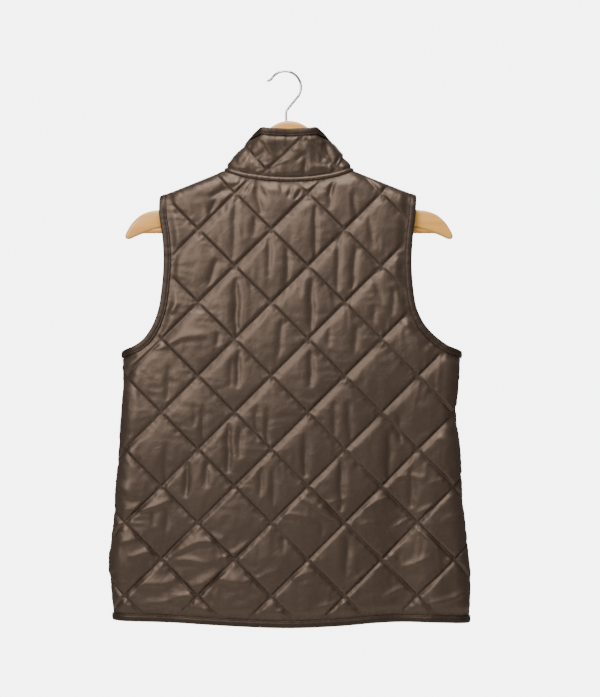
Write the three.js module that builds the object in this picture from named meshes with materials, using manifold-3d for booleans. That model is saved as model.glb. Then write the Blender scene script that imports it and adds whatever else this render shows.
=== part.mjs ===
// A quilted vest with a stand collar and a front zip, on a wooden hanger that hangs by its hook.
// Millimetres, +Z up. The vest's back faces -Y and its front faces +Y.
// The origin is the point inside the hook where a rail holds it.
import * as THREE from 'three';
import { mergeVertices } from 'three/addons/utils/BufferGeometryUtils.js';
import Module from 'manifold-3d';

const wasm = await Module();
wasm.setup();

// Cloth
const middle = 5.5; // the vest's and the hanger's middle, to the right of the hook's point of rest
const wall = 2; // quilted cloth where a stitch line presses it flat
const puff = 5; // how far the padding rises above the wall in the middle of a diamond
const collarPuff = 3.4; // the collar is padded less
const puffFullness = 0.6; // below 1 the padding rises fast beside a stitch line
const seam = 0.4; // gap between two pieces
const diamondHalf = 50; // half a diamond's diagonal
const quiltStep = diamondHalf / 3;
const plainStep = 3 * quiltStep;
const sewnMargin = 3; // flat strip along a seam
const boundMargin = 11; // flat strip under a binding
const neckMargin = 5; // flat strip beside the piping
const riseOver = 13; // the padding reaches its height over this distance from a flat strip
const chordError = 1.5; // how far a facet may lie from the curve of the cloth
const nearEdge = { within: 14, bound: 0.4, piped: 0.6, collarTop: 0.6 }; // the same near an edge with a binding or piping
const edgeError = { hem: 0.35, armhole: 0.25, collar: 0.25, piping: 0.35 }; // the same for the trims along the edges
const cutError = 0.08; // and for the outlines of the flat cut

// How the cloth rolls over at the side seams and over the hanger's arms
const sideRoll = 20;
const sideArc = 38;
const shoulderRoll = 14;
const shoulderArc = 19.5;
const bow = 0.28; // share of the depth that is lost between the middle and the sides

// The outline from behind. left and right are distances from the middle.
const sides = [
  { z: -756, left: 240, right: 247 },
  { z: -712, left: 243.5, right: 249 },
  { z: -670, left: 247, right: 247.5 },
  { z: -615, left: 240.5, right: 240.5 },
  { z: -560, left: 236.5, right: 236.5 },
  { z: -505, left: 232.5, right: 233 },
  { z: -464, left: 229, right: 229 },
  { z: -420, left: 228, right: 233 },
  { z: -384, left: 228, right: 236 },
];
const armholes = [
  { z: -384, left: 228, right: 236 },
  { z: -377, left: 214, right: 221 },
  { z: -368, left: 201, right: 207 },
  { z: -354, left: 190, right: 191.5 },
  { z: -338, left: 182.5, right: 180.5 },
  { z: -315, left: 176.5, right: 172.5 },
  { z: -270, left: 172, right: 168 },
  { z: -231, left: 173, right: 169.5 },
  { z: -195, left: 178, right: 173.5 },
];
const hems = [
  { x: -245, z: -752 },
  { x: -170, z: -754 },
  { x: -60, z: -759.5 },
  { x: 5, z: -761 },
  { x: 70, z: -758.5 },
  { x: 120, z: -754.5 },
  { x: 170, z: -753.5 },
  { x: 252, z: -756 },
];
const shoulderTip = { left: 177, right: 175 };
const neckHalf = 85; // from the middle to the seam where shoulder and collar meet
const neckZ = -135.8;
const shoulderFall = 0.405; // how steeply the shoulder seam falls
const backNeckDrop = 12;
const frontNeckDrop = 76.2;

// How far the inner face of the cloth lies behind and in front of the hanger
const depths = [
  { z: -760, back: 30, front: 33 },
  { z: -640, back: 32, front: 36 },
  { z: -500, back: 34, front: 38 },
  { z: -384, back: 31, front: 36 },
  { z: -300, back: 25, front: 30 },
  { z: -212, back: 18, front: 25 },
  { z: -137, back: 10.5, front: 10.5 },
];
// Soft upright folds. face is -1 for the back, and deep is out from the body.
const folds = [
  { face: -1, x: -5, wide: 80, deep: 4, from: -430 },
  { face: -1, x: -158, wide: 30, deep: -4, from: -450 },
  { face: -1, x: 150, wide: 28, deep: -5, from: -400 },
  { face: -1, x: 196, wide: 20, deep: 3, from: -440 },
  { face: 1, x: -105, wide: 38, deep: 5, from: -400 },
  { face: 1, x: -175, wide: 26, deep: -4, from: -460 },
  { face: 1, x: 88, wide: 34, deep: 4, from: -450 },
  { face: 1, x: 160, wide: 30, deep: -5, from: -420 },
];
const foldGrows = 220; // a fold reaches its depth this far below where it starts

// The collar's top edge, one half. along is the distance from the middle of the back.
// swell is how far the collar is pushed back and up, halfway to its top, where it passes over the hanger.
const collarHeight = 73;
const swellWay = { x: 0.3, y: -0.75, z: 0.6 };
const collarTop = [
  { along: 0, x: 0, y: -14, z: -78.5, swell: 0 },
  { along: 28, x: 28, y: -14.5, z: -77, swell: 0 },
  { along: 37, x: 36, y: -12.5, z: -76, swell: 0 },
  { along: 45, x: 39.5, y: -8, z: -79.5, swell: 2 },
  { along: 54, x: 44, y: 0, z: -84, swell: 6 },
  { along: 66, x: 48.5, y: 10.5, z: -89.5, swell: 9.5 },
  { along: 80, x: 53, y: 24, z: -95, swell: 7 },
  { along: 95, x: 56, y: 38, z: -101, swell: 3 },
  { along: 125, x: 57, y: 58, z: -122, swell: 1 },
  { along: 157, x: 47, y: 69, z: -145, swell: 0 },
  { along: 190, x: 25, y: 75, z: -156, swell: 0 },
  { along: 220, x: 4, y: 77, z: -160, swell: 0 },
];
const collarTopLength = 220;

// Bindings, piping and zip
const bindingWide = 8;
const bindingLeg = 0.8;
const bindingEase = 1; // room between a binding and the edge that it wraps
const bindingLoft = 1.4; // room between a binding and the padding under its outer leg
const pipingEase = 0.5; // room between the piping and the cloth on both its sides
const pipingRadius = 2.8;
const zipGap = 4; // half the space between the two fronts
const chainHalf = 3.2;
const chain = { under: -1.4, over: 1.4 };
const tape = { from: 3.6, to: 17, under: -2, over: -1.1 };
const tapeStop = 11; // the tapes stop short of the hem and of the collar's top

// Where the quilting's stitch lines cross
const backCrossing = { x: 25.4, z: -268 };
const frontCrossing = { x: 0, z: -290 };
const collarCrossing = { x: -31.6, z: 11 };

// Zip slider and pull
const slider = { wide: 9.4, long: 13, under: 2.6, over: 4.4, keelHalf: 2.8, below: 13 };
const bridge = { long: 10, high: 4.2, bar: 1.1, wide: 2.4 };
const pull = { wide: 7.4, long: 27, thick: 1.4, slotWide: 3.6, slotLong: 5.6, bar: 1.4 };

// Hanger
const hangerThick = 13;
const woodEdge = 4;
const barRadius = 4.8;
const barZ = -216.7;
const barHalf = 203;
const wireRadius = 1.6;
const hookRadius = 22; // to the middle of the wire
const stemX = 1.6;
const stemTop = -55;
const crownTop = -66.8;
const stemDeep = 22; // how far the wire goes into the wood

const quarter = Math.PI / 2;
const clamp = (value, low, high) => Math.min(high, Math.max(low, value));
const ease = (value) => {
  const t = clamp(value, 0, 1);
  return t * t * (3 - 2 * t);
};

// A table's column at a place between its rows, as a smooth curve
function read(rows, key, place, column) {
  const upward = rows[0][key] < rows[rows.length - 1][key];
  const sorted = upward ? rows : [...rows].reverse();
  const last = sorted.length - 1;
  const at = clamp(place, sorted[0][key], sorted[last][key]);
  let i = 0;
  while (i < last - 1 && at > sorted[i + 1][key]) i += 1;
  const slope = (j) => {
    const a = sorted[Math.max(0, j - 1)];
    const b = sorted[Math.min(last, j + 1)];
    return (b[column] - a[column]) / (b[key] - a[key]);
  };
  const step = sorted[i + 1][key] - sorted[i][key];
  const t = (at - sorted[i][key]) / step;
  const t2 = t * t;
  const t3 = t2 * t;
  return (
    (2 * t3 - 3 * t2 + 1) * sorted[i][column] +
    (t3 - 2 * t2 + t) * step * slope(i) +
    (3 * t2 - 2 * t3) * sorted[i + 1][column] +
    (t3 - t2) * step * slope(i + 1)
  );
}

// The hanging cloth

const sideName = (x) => (x < 0 ? 'left' : 'right');
const sideHalf = (x, z) => read(sides, 'z', z, sideName(x)) - wall;
const ridgeZ = (x) => neckZ - shoulderFall * (Math.abs(x) - neckHalf);
const ridgeTop = (x) => ridgeZ(x) - shoulderRoll + shoulderArc;

// Depth of the cloth's inner face at a place on it
function depthAt(x, z, face) {
  const base = read(depths, 'z', z, face < 0 ? 'back' : 'front');
  const across = 1 - bow * (x / sideHalf(x, z)) ** 2;
  let extra = 0;
  for (const fold of folds) {
    if (fold.face !== face) continue;
    const near = Math.exp(-(((x - fold.x) / fold.wide) ** 2));
    extra += fold.deep * near * ease((fold.from - z) / foldGrows);
  }
  return base * across + extra;
}

// From the flat cut (u across, w up) to the inner face of the hanging cloth
function hang(u, w, face) {
  const flatTo = sideHalf(u, w) - sideRoll;
  const over = Math.abs(u) - flatTo;
  let x = u;
  let side = 1;
  if (over > 0) {
    const turn = quarter * (1 - over / sideArc);
    x = Math.sign(u) * (flatTo + sideRoll * Math.cos(turn));
    side = Math.sin(turn);
  }
  const rollFrom = ridgeZ(x) - shoulderRoll;
  const above = w - rollFrom;
  let z = w;
  let lift = 1;
  if (above > 0) {
    const turn = quarter * (1 - above / shoulderArc);
    z = rollFrom + shoulderRoll * Math.cos(turn);
    lift = Math.sin(turn);
  }
  return new THREE.Vector3(x + middle, face * depthAt(x, z, face) * side * lift, z);
}

// From a place in the outline to the flat cut
function flatPlace(x, z) {
  const flatTo = sideHalf(x, z) - sideRoll;
  const over = Math.abs(x) - flatTo;
  let u = x;
  if (over > 0) {
    u = Math.sign(x) * (flatTo + sideArc * (1 - Math.acos(Math.min(1, over / sideRoll)) / quarter));
  }
  const rollFrom = ridgeZ(x) - shoulderRoll;
  const above = z - rollFrom;
  let w = z;
  if (above > 0) {
    w = rollFrom + shoulderArc * (1 - Math.acos(Math.min(1, above / shoulderRoll)) / quarter);
  }
  return new THREE.Vector2(u, w);
}

// A cloth surface gives a point and its outward normal for a place on the flat cut
function surface(point, outward) {
  const small = 0.4;
  const frame = (u, v) => {
    const across = point(u + small, v).sub(point(u - small, v));
    const up = point(u, v + small).sub(point(u, v - small));
    const normal = across.clone().cross(up).multiplyScalar(outward).normalize();
    return { point: point(u, v), normal, across: across.normalize(), up: up.normalize() };
  };
  const place = (u, v, n) => {
    const at = frame(u, v);
    return at.point.addScaledVector(at.normal, n);
  };
  return { frame, place };
}
const backCloth = surface((u, w) => hang(u, w, -1), 1);
const frontCloth = surface((u, w) => hang(u, w, 1), -1);

// The neckline, from the middle of the back over the right shoulder to the zip
const neckPlace = (angle, face) => {
  const x = neckHalf * Math.cos(angle);
  const rise = Math.sin(angle);
  const z = face < 0 ? neckZ - backNeckDrop * rise * rise : neckZ - frontNeckDrop * rise;
  return { x, z };
};
const zipAngle = Math.acos(zipGap / neckHalf);
const neckSteps = 24;
const neckline = [];
for (let i = neckSteps; i > 0; i -= 1) {
  neckline.push({ ...neckPlace((quarter * i) / neckSteps, -1), face: -1 });
}
for (let i = 0; i <= neckSteps; i += 1) {
  neckline.push({ ...neckPlace(zipAngle * (i / neckSteps) ** 1.6, 1), face: 1 });
}
for (const row of neckline) {
  const flat = row.x >= neckHalf ? new THREE.Vector2(neckHalf, ridgeTop(neckHalf)) : flatPlace(row.x, row.z);
  row.flat = flat;
  row.cloth = row.face < 0 ? backCloth : frontCloth;
  row.point = row.cloth.place(flat.x, flat.y, 0);
}
// The collar stands on the neckline, a seam's gap away from the vest's edge
neckline.forEach((row, i) => {
  row.along = i ? neckline[i - 1].along + row.point.distanceTo(neckline[i - 1].point) : 0;
});
const neckLength = neckline[neckline.length - 1].along;
neckline.forEach((row, i) => {
  const before = neckline[Math.max(0, i - 1)].point;
  const after = neckline[Math.min(neckline.length - 1, i + 1)].point;
  const run = after.clone().sub(before).normalize();
  const top = (row.along / neckLength) * collarTopLength;
  const head = new THREE.Vector3(...['x', 'y', 'z'].map((axis) => read(collarTop, 'along', top, axis)));
  head.x += middle;
  const body = row.cloth.frame(row.flat.x, row.flat.y);
  const off = new THREE.Vector3().crossVectors(body.normal, run).normalize();
  // The collar leaves the seam the way that its swell makes it lean
  const swell = 4 * read(collarTop, 'along', top, 'swell');
  const rise = head.sub(row.point).add(new THREE.Vector3(swellWay.x, swellWay.y, swellWay.z).multiplyScalar(swell));
  rise.addScaledVector(run, -rise.dot(run)).normalize();
  const out = new THREE.Vector3().crossVectors(run, rise).normalize();
  const fold = Math.acos(clamp(off.dot(rise), -1, 1)) / 2;
  row.gap = seam + wall * Math.tan(fold);
  row.away = off.clone().add(rise).normalize();
  row.out = body.normal.clone().add(out).normalize();
  row.middle = row.point.clone().addScaledVector(body.normal, wall / 2);
  row.fold = fold;
  row.foot = row.middle.clone().addScaledVector(row.away, row.gap).addScaledVector(out, -wall / 2);
  row.px = row.foot.x - middle;
  row.py = row.foot.y;
  row.pz = row.foot.z;
});

// The collar, from its flat cut (u along, v up) to its inner face
function standCollar(u, v) {
  const along = Math.abs(u);
  const side = u < 0 ? -1 : 1;
  const top = (along / neckLength) * collarTopLength;
  const foot = ['px', 'py', 'pz'].map((axis) => read(neckline, 'along', along, axis));
  const head = ['x', 'y', 'z'].map((axis) => read(collarTop, 'along', top, axis));
  const share = v / collarHeight;
  const [x, y, z] = foot.map((low, i) => low + (head[i] - low) * share);
  const swell = read(collarTop, 'along', top, 'swell') * 4 * share * (1 - share);
  return new THREE.Vector3(middle + side * (x + swell * swellWay.x), y + swell * swellWay.y, z + swell * swellWay.z);
}
const collarCloth = surface(standCollar, 1);

// Meshes and solids

function toSolid(geometry) {
  const bare = geometry.index ? geometry.toNonIndexed() : geometry.clone();
  bare.deleteAttribute('normal');
  bare.deleteAttribute('uv');
  const merged = mergeVertices(bare, 1e-4);
  return new wasm.Manifold(
    new wasm.Mesh({
      numProp: 3,
      vertProperties: new Float32Array(merged.attributes.position.array),
      triVerts: new Uint32Array(merged.index.array),
    }),
  );
}

function toGeometry(points, triangles) {
  const geometry = new THREE.BufferGeometry();
  geometry.setAttribute('position', new THREE.Float32BufferAttribute(points, 3));
  geometry.setIndex(triangles);
  geometry.computeVertexNormals();
  return geometry;
}

function fromSolid(solid) {
  const mesh = solid.getMesh();
  const points = [];
  for (let i = 0; i < mesh.numVert; i += 1) {
    points.push(...mesh.vertProperties.slice(i * mesh.numProp, i * mesh.numProp + 3));
  }
  return toGeometry(points, Array.from(mesh.triVerts));
}

// Rings of the same number of points, joined into a closed solid
function loft(rings, closed, section) {
  const size = rings[0].length;
  const points = rings.flat().flatMap((p) => [p.x, p.y, p.z]);
  const triangles = [];
  const spans = closed ? rings.length : rings.length - 1;
  for (let i = 0; i < spans; i += 1) {
    const a = i * size;
    const b = ((i + 1) % rings.length) * size;
    for (let j = 0; j < size; j += 1) {
      const k = (j + 1) % size;
      triangles.push(a + j, a + k, b + k, a + j, b + k, b + j);
    }
  }
  if (!closed) {
    const end = (rings.length - 1) * size;
    for (const [p, q, r] of THREE.ShapeUtils.triangulateShape(section, [])) {
      triangles.push(r, q, p, end + p, end + q, end + r);
    }
  }
  return outwards(toGeometry(points, triangles));
}

// Turns a closed mesh's faces out where they point in
function outwards(geometry) {
  const at = geometry.attributes.position;
  const index = Array.from(geometry.index.array);
  const [a, b, c] = [new THREE.Vector3(), new THREE.Vector3(), new THREE.Vector3()];
  let volume = 0;
  for (let i = 0; i < index.length; i += 3) {
    a.fromBufferAttribute(at, index[i]);
    b.fromBufferAttribute(at, index[i + 1]);
    c.fromBufferAttribute(at, index[i + 2]);
    volume += a.dot(b.cross(c));
  }
  if (volume < 0) {
    for (let i = 0; i < index.length; i += 3) {
      [index[i + 1], index[i + 2]] = [index[i + 2], index[i + 1]];
    }
    geometry.setIndex(index);
    geometry.computeVertexNormals();
  }
  return geometry;
}

// Bends a flat solid onto a cloth surface, and halves each edge that cuts its curve too short
function drape(solid, cloth, height, edges) {
  const mesh = solid.getMesh();
  const flat = [];
  for (let i = 0; i < mesh.numVert; i += 1) {
    const [u, v, n] = mesh.vertProperties.slice(i * mesh.numProp, i * mesh.numProp + 3);
    flat.push([u, v, n > wall / 2 ? height(u, v) : 0]);
  }
  const hung = flat.map(([u, v, n]) => cloth.place(u, v, n));
  let triangles = [];
  for (let i = 0; i < mesh.triVerts.length; i += 3) {
    triangles.push([...mesh.triVerts.slice(i, i + 3)]);
  }
  const passes = 5;
  for (let pass = 0; pass < passes; pass += 1) {
    const split = new Map();
    const middleOf = (p, q) => {
      const key = p < q ? `${p},${q}` : `${q},${p}`;
      if (!split.has(key)) {
        const half = flat[p].map((value, i) => (value + flat[q][i]) / 2);
        const bent = cloth.place(...half);
        const chord = hung[p].clone().add(hung[q]).multiplyScalar(0.5);
        const near = edges.filter(({ line, error }) => error && distanceTo(line, half[0], half[1]) < nearEdge.within);
        const allowed = Math.min(chordError, ...near.map(({ error }) => error));
        let vertex = -1;
        if (bent.distanceTo(chord) > allowed) {
          vertex = flat.push(half) - 1;
          hung.push(bent);
        }
        split.set(key, vertex);
      }
      return split.get(key);
    };
    triangles = triangles.flatMap(([p, q, r]) => divide([p, q, r], [middleOf(p, q), middleOf(q, r), middleOf(r, p)]));
  }
  return outwards(toGeometry(hung.flatMap((p) => [p.x, p.y, p.z]), triangles.flat()));
}

// One triangle cut at those of its edges that have a middle vertex
function divide(corners, middles) {
  const cuts = middles.filter((vertex) => vertex >= 0).length;
  if (cuts === 0) return [corners];
  if (cuts === 3) {
    const [p, q, r] = corners;
    const [a, b, c] = middles;
    return [[p, a, c], [a, q, b], [c, b, r], [a, b, c]];
  }
  // Turned so that the first edge is cut, and with two cuts the third is whole
  let turn = 0;
  while (middles[turn] < 0 || (cuts === 2 && middles[(turn + 2) % 3] >= 0)) turn += 1;
  const at = (list, i) => list[(turn + i) % 3];
  const [p, q, r] = [at(corners, 0), at(corners, 1), at(corners, 2)];
  const [a, b] = [at(middles, 0), at(middles, 1)];
  if (cuts === 1) return [[p, a, r], [a, q, r]];
  return [[a, q, b], [p, a, r], [a, b, r]];
}

// Distance from a place on the flat cut to a line of places
function distanceTo(line, u, v) {
  let least = Infinity;
  for (let i = 1; i < line.length; i += 1) {
    const [a, b] = [line[i - 1], line[i]];
    const [dx, dy] = [b.x - a.x, b.y - a.y];
    const t = clamp(((u - a.x) * dx + (v - a.y) * dy) / (dx * dx + dy * dy || 1), 0, 1);
    least = Math.min(least, Math.hypot(u - a.x - t * dx, v - a.y - t * dy));
  }
  return least;
}

// Height of the padding: diamonds between two families of stitch lines, flat near the edges
function padding(u, v, crossing, edges) {
  const [x, z] = [u - crossing.x, v - crossing.z];
  const rising = Math.sin((Math.PI * (x + z)) / (2 * diamondHalf));
  const falling = Math.sin((Math.PI * (x - z)) / (2 * diamondHalf));
  const full = crossing === collarCrossing ? collarPuff : puff;
  let height = full * Math.abs(rising * falling) ** puffFullness;
  for (const { line, margin } of edges) height *= ease((distanceTo(line, u, v) - margin) / riseOver);
  return height;
}

// A flat sheet with a quilted outside and a plain inside, cut to its outline and bent onto its surface
function quiltedPanel(outline, cloth, crossing, edges) {
  const xs = outline.map((p) => p.x);
  const ys = outline.map((p) => p.y);
  const from = (low, start) => start + 2 * diamondHalf * (Math.floor((low - start) / (2 * diamondHalf)) - 1);
  const [u0, v0] = [from(Math.min(...xs), crossing.x), from(Math.min(...ys), crossing.z)];
  const cells = (low, high) => 2 * Math.ceil((high - low) / (2 * diamondHalf)) + 2;
  const [wide, tall] = [cells(u0, Math.max(...xs)), cells(v0, Math.max(...ys))];
  const points = [];
  const triangles = [];
  const sheet = (step, height, up) => {
    const [nu, nv] = [wide, tall].map((count) => Math.round((count * diamondHalf) / step));
    const first = points.length / 3;
    for (let j = 0; j <= nv; j += 1) {
      for (let i = 0; i <= nu; i += 1) {
        const [u, v] = [u0 + i * step, v0 + j * step];
        // A hair's unevenness keeps the flat squares apart in the cut. drape() takes it away again.
        points.push(u, v, height(u, v) + 0.05 * ((3 * i + 5 * j) % 4));
      }
    }
    for (let j = 0; j < nv; j += 1) {
      for (let i = 0; i < nu; i += 1) {
        const a = first + j * (nu + 1) + i;
        const [b, c, d] = [a + 1, a + nu + 2, a + nu + 1];
        // Each square is cut along the way of the stitch line that crosses it
        const span = Math.round((2 * diamondHalf) / step);
        const risingLine = (((i - j) % span) + span) % span === 0;
        const fallingLine = (i + j + 1) % span === 0;
        const rises = risingLine || (!fallingLine && (i + j) % 2 === 0);
        const cut = rises ? [[a, b, c], [a, c, d]] : [[a, b, d], [b, c, d]];
        for (const [p, q, r] of cut) triangles.push(...(up ? [p, q, r] : [p, r, q]));
      }
    }
    return { first, nu, nv };
  };
  const height = (u, v) => wall + padding(u, v, crossing, edges);
  const outer = sheet(quiltStep, height, true);
  const inner = sheet(plainStep, () => 0, false);
  // The rim joins three steps of the outside to each step of the inside
  const at = (grid, i, j) => grid.first + j * (grid.nu + 1) + i;
  const rim = (count, outerAt, innerAt) => {
    for (let k = 0; k < count; k += 1) {
      const [o, p, q, r] = [0, 1, 2, 3].map((step) => outerAt(3 * k + step));
      const [i, j] = [innerAt(k), innerAt(k + 1)];
      triangles.push(o, i, p, p, i, q, i, j, q, q, j, r);
    }
  };
  rim(inner.nu, (k) => at(outer, k, 0), (k) => at(inner, k, 0));
  rim(inner.nu, (k) => at(outer, outer.nu - k, outer.nv), (k) => at(inner, inner.nu - k, inner.nv));
  rim(inner.nv, (k) => at(outer, 0, outer.nv - k), (k) => at(inner, 0, inner.nv - k));
  rim(inner.nv, (k) => at(outer, outer.nu, k), (k) => at(inner, inner.nu, k));
  const sheetSolid = toSolid(toGeometry(points, triangles));
  const cutter = new THREE.ExtrudeGeometry(new THREE.Shape(outline), { depth: 40, bevelEnabled: false });
  cutter.translate(0, 0, -20);
  return drape(sheetSolid.intersect(toSolid(cutter)), cloth, height, edges);
}

// Lines of the flat cut, each from the bottom up or from the middle out, for one side (sign -1 left, 1 right)

function armholeLine(sign) {
  const column = sign < 0 ? 'left' : 'right';
  const tip = sign * shoulderTip[column];
  const corner = new THREE.Vector2(sign * (sideHalf(sign, armholes[0].z) - sideRoll + sideArc), armholes[0].z);
  const rows = armholes.slice(1).map((row) => flatPlace(sign * row[column], row.z));
  const end = new THREE.Vector2(tip, ridgeTop(tip));
  return new THREE.SplineCurve([corner, ...rows, end]).getPoints(80);
}

function sideLine(sign) {
  const rows = 80;
  const [low, high] = [hemZ(sign * 250), armholes[0].z];
  return Array.from({ length: rows + 1 }, (_, i) => {
    const z = low + ((high - low) * i) / rows;
    return new THREE.Vector2(sign * (sideHalf(sign, z) - sideRoll + sideArc), z);
  });
}

const hemZ = (x) => read(hems, 'x', x, 'z');

function hemLine(sign, from) {
  const rows = 60;
  const corner = sideLine(sign)[0];
  const line = Array.from({ length: rows }, (_, i) => {
    const u = sign * (from + ((Math.abs(corner.x) - from) * i) / rows);
    return new THREE.Vector2(u, hemZ(u));
  });
  return [...line, corner];
}

function shoulderLine(sign) {
  const rows = 8;
  const tip = shoulderTip[sign < 0 ? 'left' : 'right'];
  return Array.from({ length: rows + 1 }, (_, i) => {
    const x = sign * (neckHalf + ((tip - neckHalf) * i) / rows);
    return new THREE.Vector2(x, ridgeTop(x));
  });
}

const neckLine = (sign, face) => {
  const rows = neckline.filter((row) => row.face === face).map((row) => row.flat.clone());
  if (face > 0) rows.reverse();
  else rows.push(new THREE.Vector2(neckHalf, ridgeTop(neckHalf)));
  return rows.map((p) => p.setX(p.x * sign));
};

// A line moved sideways on the flat cut, to its left for a positive distance
function moved(line, distance) {
  return line.map((p, i) => {
    const before = line[Math.max(0, i - 1)];
    const after = line[Math.min(line.length - 1, i + 1)];
    const run = after.clone().sub(before).normalize();
    return new THREE.Vector2(p.x - run.y * distance, p.y + run.x * distance);
  });
}

// Keeps of a finely drawn line the points that its curve needs, flat or hanging on a cloth surface
function thinned(line, cloth, allowed = cutError) {
  const points = line.map((p) => (cloth ? cloth.place(p.x, p.y, 0) : new THREE.Vector3(p.x, p.y, p.z || 0)));
  const keep = (from, to) => {
    const span = new THREE.Line3(points[from], points[to]);
    let worst = 0;
    let at = -1;
    for (let i = from + 1; i < to; i += 1) {
      const off = span.closestPointToPoint(points[i], true, new THREE.Vector3()).distanceTo(points[i]);
      if (off > worst) [worst, at] = [off, i];
    }
    return worst > allowed ? [...keep(from, at), ...keep(at, to)] : [to];
  };
  return [0, ...keep(0, line.length - 1)].map((i) => line[i]);
}

const bindingInset = bindingLeg + bindingEase;
const lines = {};
for (const [name, sign] of [['left', -1], ['right', 1]]) {
  lines[name] = {
    hem: moved(hemLine(sign, 0), sign * bindingInset),
    side: moved(sideLine(sign), (sign * seam) / 2),
    armhole: moved(armholeLine(sign), sign * bindingInset),
    shoulder: moved(shoulderLine(sign), (-sign * seam) / 2),
    backNeck: neckLine(sign, -1),
    frontNeck: neckLine(sign, 1),
  };
}

// One side's outline from the middle of the hem to the middle of the neck
function halfOutline(side, neck, from) {
  const line = lines[side];
  const sign = side === 'left' ? -1 : 1;
  const hem = line.hem.filter((p) => Math.abs(p.x) > from + 1);
  const start = new THREE.Vector2(sign * from, hemZ(sign * from) + bindingInset);
  const corner = new THREE.Vector2(line.side[0].x, line.hem[line.hem.length - 1].y);
  const underarm = new THREE.Vector2(line.side[0].x, 0);
  underarm.set(line.side[line.side.length - 1].x, line.armhole[0].y);
  const tip = new THREE.Vector2(line.armhole[line.armhole.length - 1].x, 0);
  tip.setY(ridgeTop(tip.x) - seam / 2);
  const neckCorner = new THREE.Vector2(sign * neckHalf, ridgeTop(neckHalf) - seam / 2);
  const edges = [
    [start, ...hem.slice(0, -1), corner],
    [corner, ...line.side.slice(1, -1), underarm],
    [underarm, ...line.armhole.slice(1, -1), tip],
    [tip, ...line.shoulder.slice(1, -1).reverse(), neckCorner],
    [neckCorner, ...neck.slice(0, -1).reverse()],
  ];
  return edges.flatMap((edge, i) => thinned(edge).slice(i ? 1 : 0));
}

// The edges of a panel with their flat strips
const panelEdges = (side, neck) => [
  { line: lines[side].side, margin: sewnMargin },
  { line: lines[side].shoulder, margin: sewnMargin },
  { line: lines[side][neck], margin: neckMargin, error: nearEdge.piped },
  { line: lines[side].hem, margin: boundMargin, error: nearEdge.bound },
  { line: lines[side].armhole, margin: boundMargin, error: nearEdge.bound },
];

function backPanel() {
  const right = halfOutline('right', lines.right.backNeck, 0);
  const left = halfOutline('left', lines.left.backNeck, 0);
  const outline = [...right, ...left.slice(1, -1).reverse()];
  const edges = [...panelEdges('left', 'backNeck'), ...panelEdges('right', 'backNeck')];
  return quiltedPanel(outline, backCloth, backCrossing, edges);
}

function frontPanel(side) {
  const sign = side === 'left' ? -1 : 1;
  const outline = halfOutline(side, lines[side].frontNeck, zipGap);
  const line = [new THREE.Vector2(sign * zipGap, -800), new THREE.Vector2(sign * zipGap, -200)];
  const edges = [...panelEdges(side, 'frontNeck'), { line, margin: sewnMargin }];
  return quiltedPanel(outline, frontCloth, frontCrossing, edges);
}

const collarEdge = collarHeight - bindingInset;

function collarPiece() {
  const corners = [[-neckLength, 0], [neckLength, 0], [neckLength, collarEdge], [-neckLength, collarEdge]];
  const outline = corners.map(([u, v]) => new THREE.Vector2(u, v));
  const edge = (from, to, margin, error) => ({ line: [outline[from], outline[to]], margin, error });
  const ends = [edge(1, 2, sewnMargin), edge(3, 0, sewnMargin)];
  const edges = [edge(0, 1, neckMargin, nearEdge.piped), edge(3, 2, boundMargin, nearEdge.collarTop), ...ends];
  return quiltedPanel(outline, collarCloth, collarCrossing, edges);
}

// A binding: a folded strip that wraps an edge.
// Its legs end on the lip, which lies on the cloth a binding's width inside the edge.
const bindingSection = [
  [-bindingWide, -bindingLeg - bindingEase],
  [bindingInset, -bindingLeg - bindingEase],
  [bindingInset, wall + bindingLeg + bindingLoft],
  [-bindingWide, wall + bindingLeg + bindingLoft],
  [-bindingWide, wall + bindingLoft],
  [bindingEase, wall + bindingLoft],
  [bindingEase, -bindingEase],
  [-bindingWide, -bindingEase],
].map(([out, n]) => new THREE.Vector2(out, n));

function binding(stations, closed) {
  const rings = stations.map(({ edge, lip, out }) =>
    bindingSection.map((s) => {
      const from = s.x < 0 ? lip : edge;
      return from.point.clone().addScaledVector(from.normal, s.y).addScaledVector(out, Math.max(0, s.x));
    }),
  );
  return loft(rings, closed, bindingSection);
}

// Stations along a line of the flat cut. The way out of the cloth is on its left for a positive side.
function stationsOn(line, cloth, side) {
  return line.map((p, i) => {
    const before = line[Math.max(0, i - 1)];
    const after = line[Math.min(line.length - 1, i + 1)];
    const run = after.clone().sub(before).normalize();
    const flatOut = new THREE.Vector2(-run.y * side, run.x * side);
    const inside = p.clone().addScaledVector(flatOut, -bindingWide);
    if (cloth !== collarCloth && p.y > ridgeTop(p.x) - seam) inside.setY(ridgeTop(inside.x));
    const edge = cloth.frame(p.x, p.y);
    const out = edge.across.clone().multiplyScalar(flatOut.x).addScaledVector(edge.up, flatOut.y);
    out.addScaledVector(edge.normal, -out.dot(edge.normal)).normalize();
    return { edge, lip: cloth.frame(inside.x, inside.y), out };
  });
}

function armholeBinding(side) {
  const sign = side === 'left' ? -1 : 1;
  const line = lines[side].armhole.map((p) => p.clone());
  const last = line.length - 1;
  line[0].setX(lines[side].side[lines[side].side.length - 1].x + (sign * seam) / 2);
  line[last].setY(ridgeTop(line[last].x));
  const [back, front] = [backCloth, frontCloth].map((face) => stationsOn(thinned(line, face, edgeError.armhole), face, -sign));
  return binding([...back, ...front.slice(1, -1).reverse()], true);
}

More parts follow.
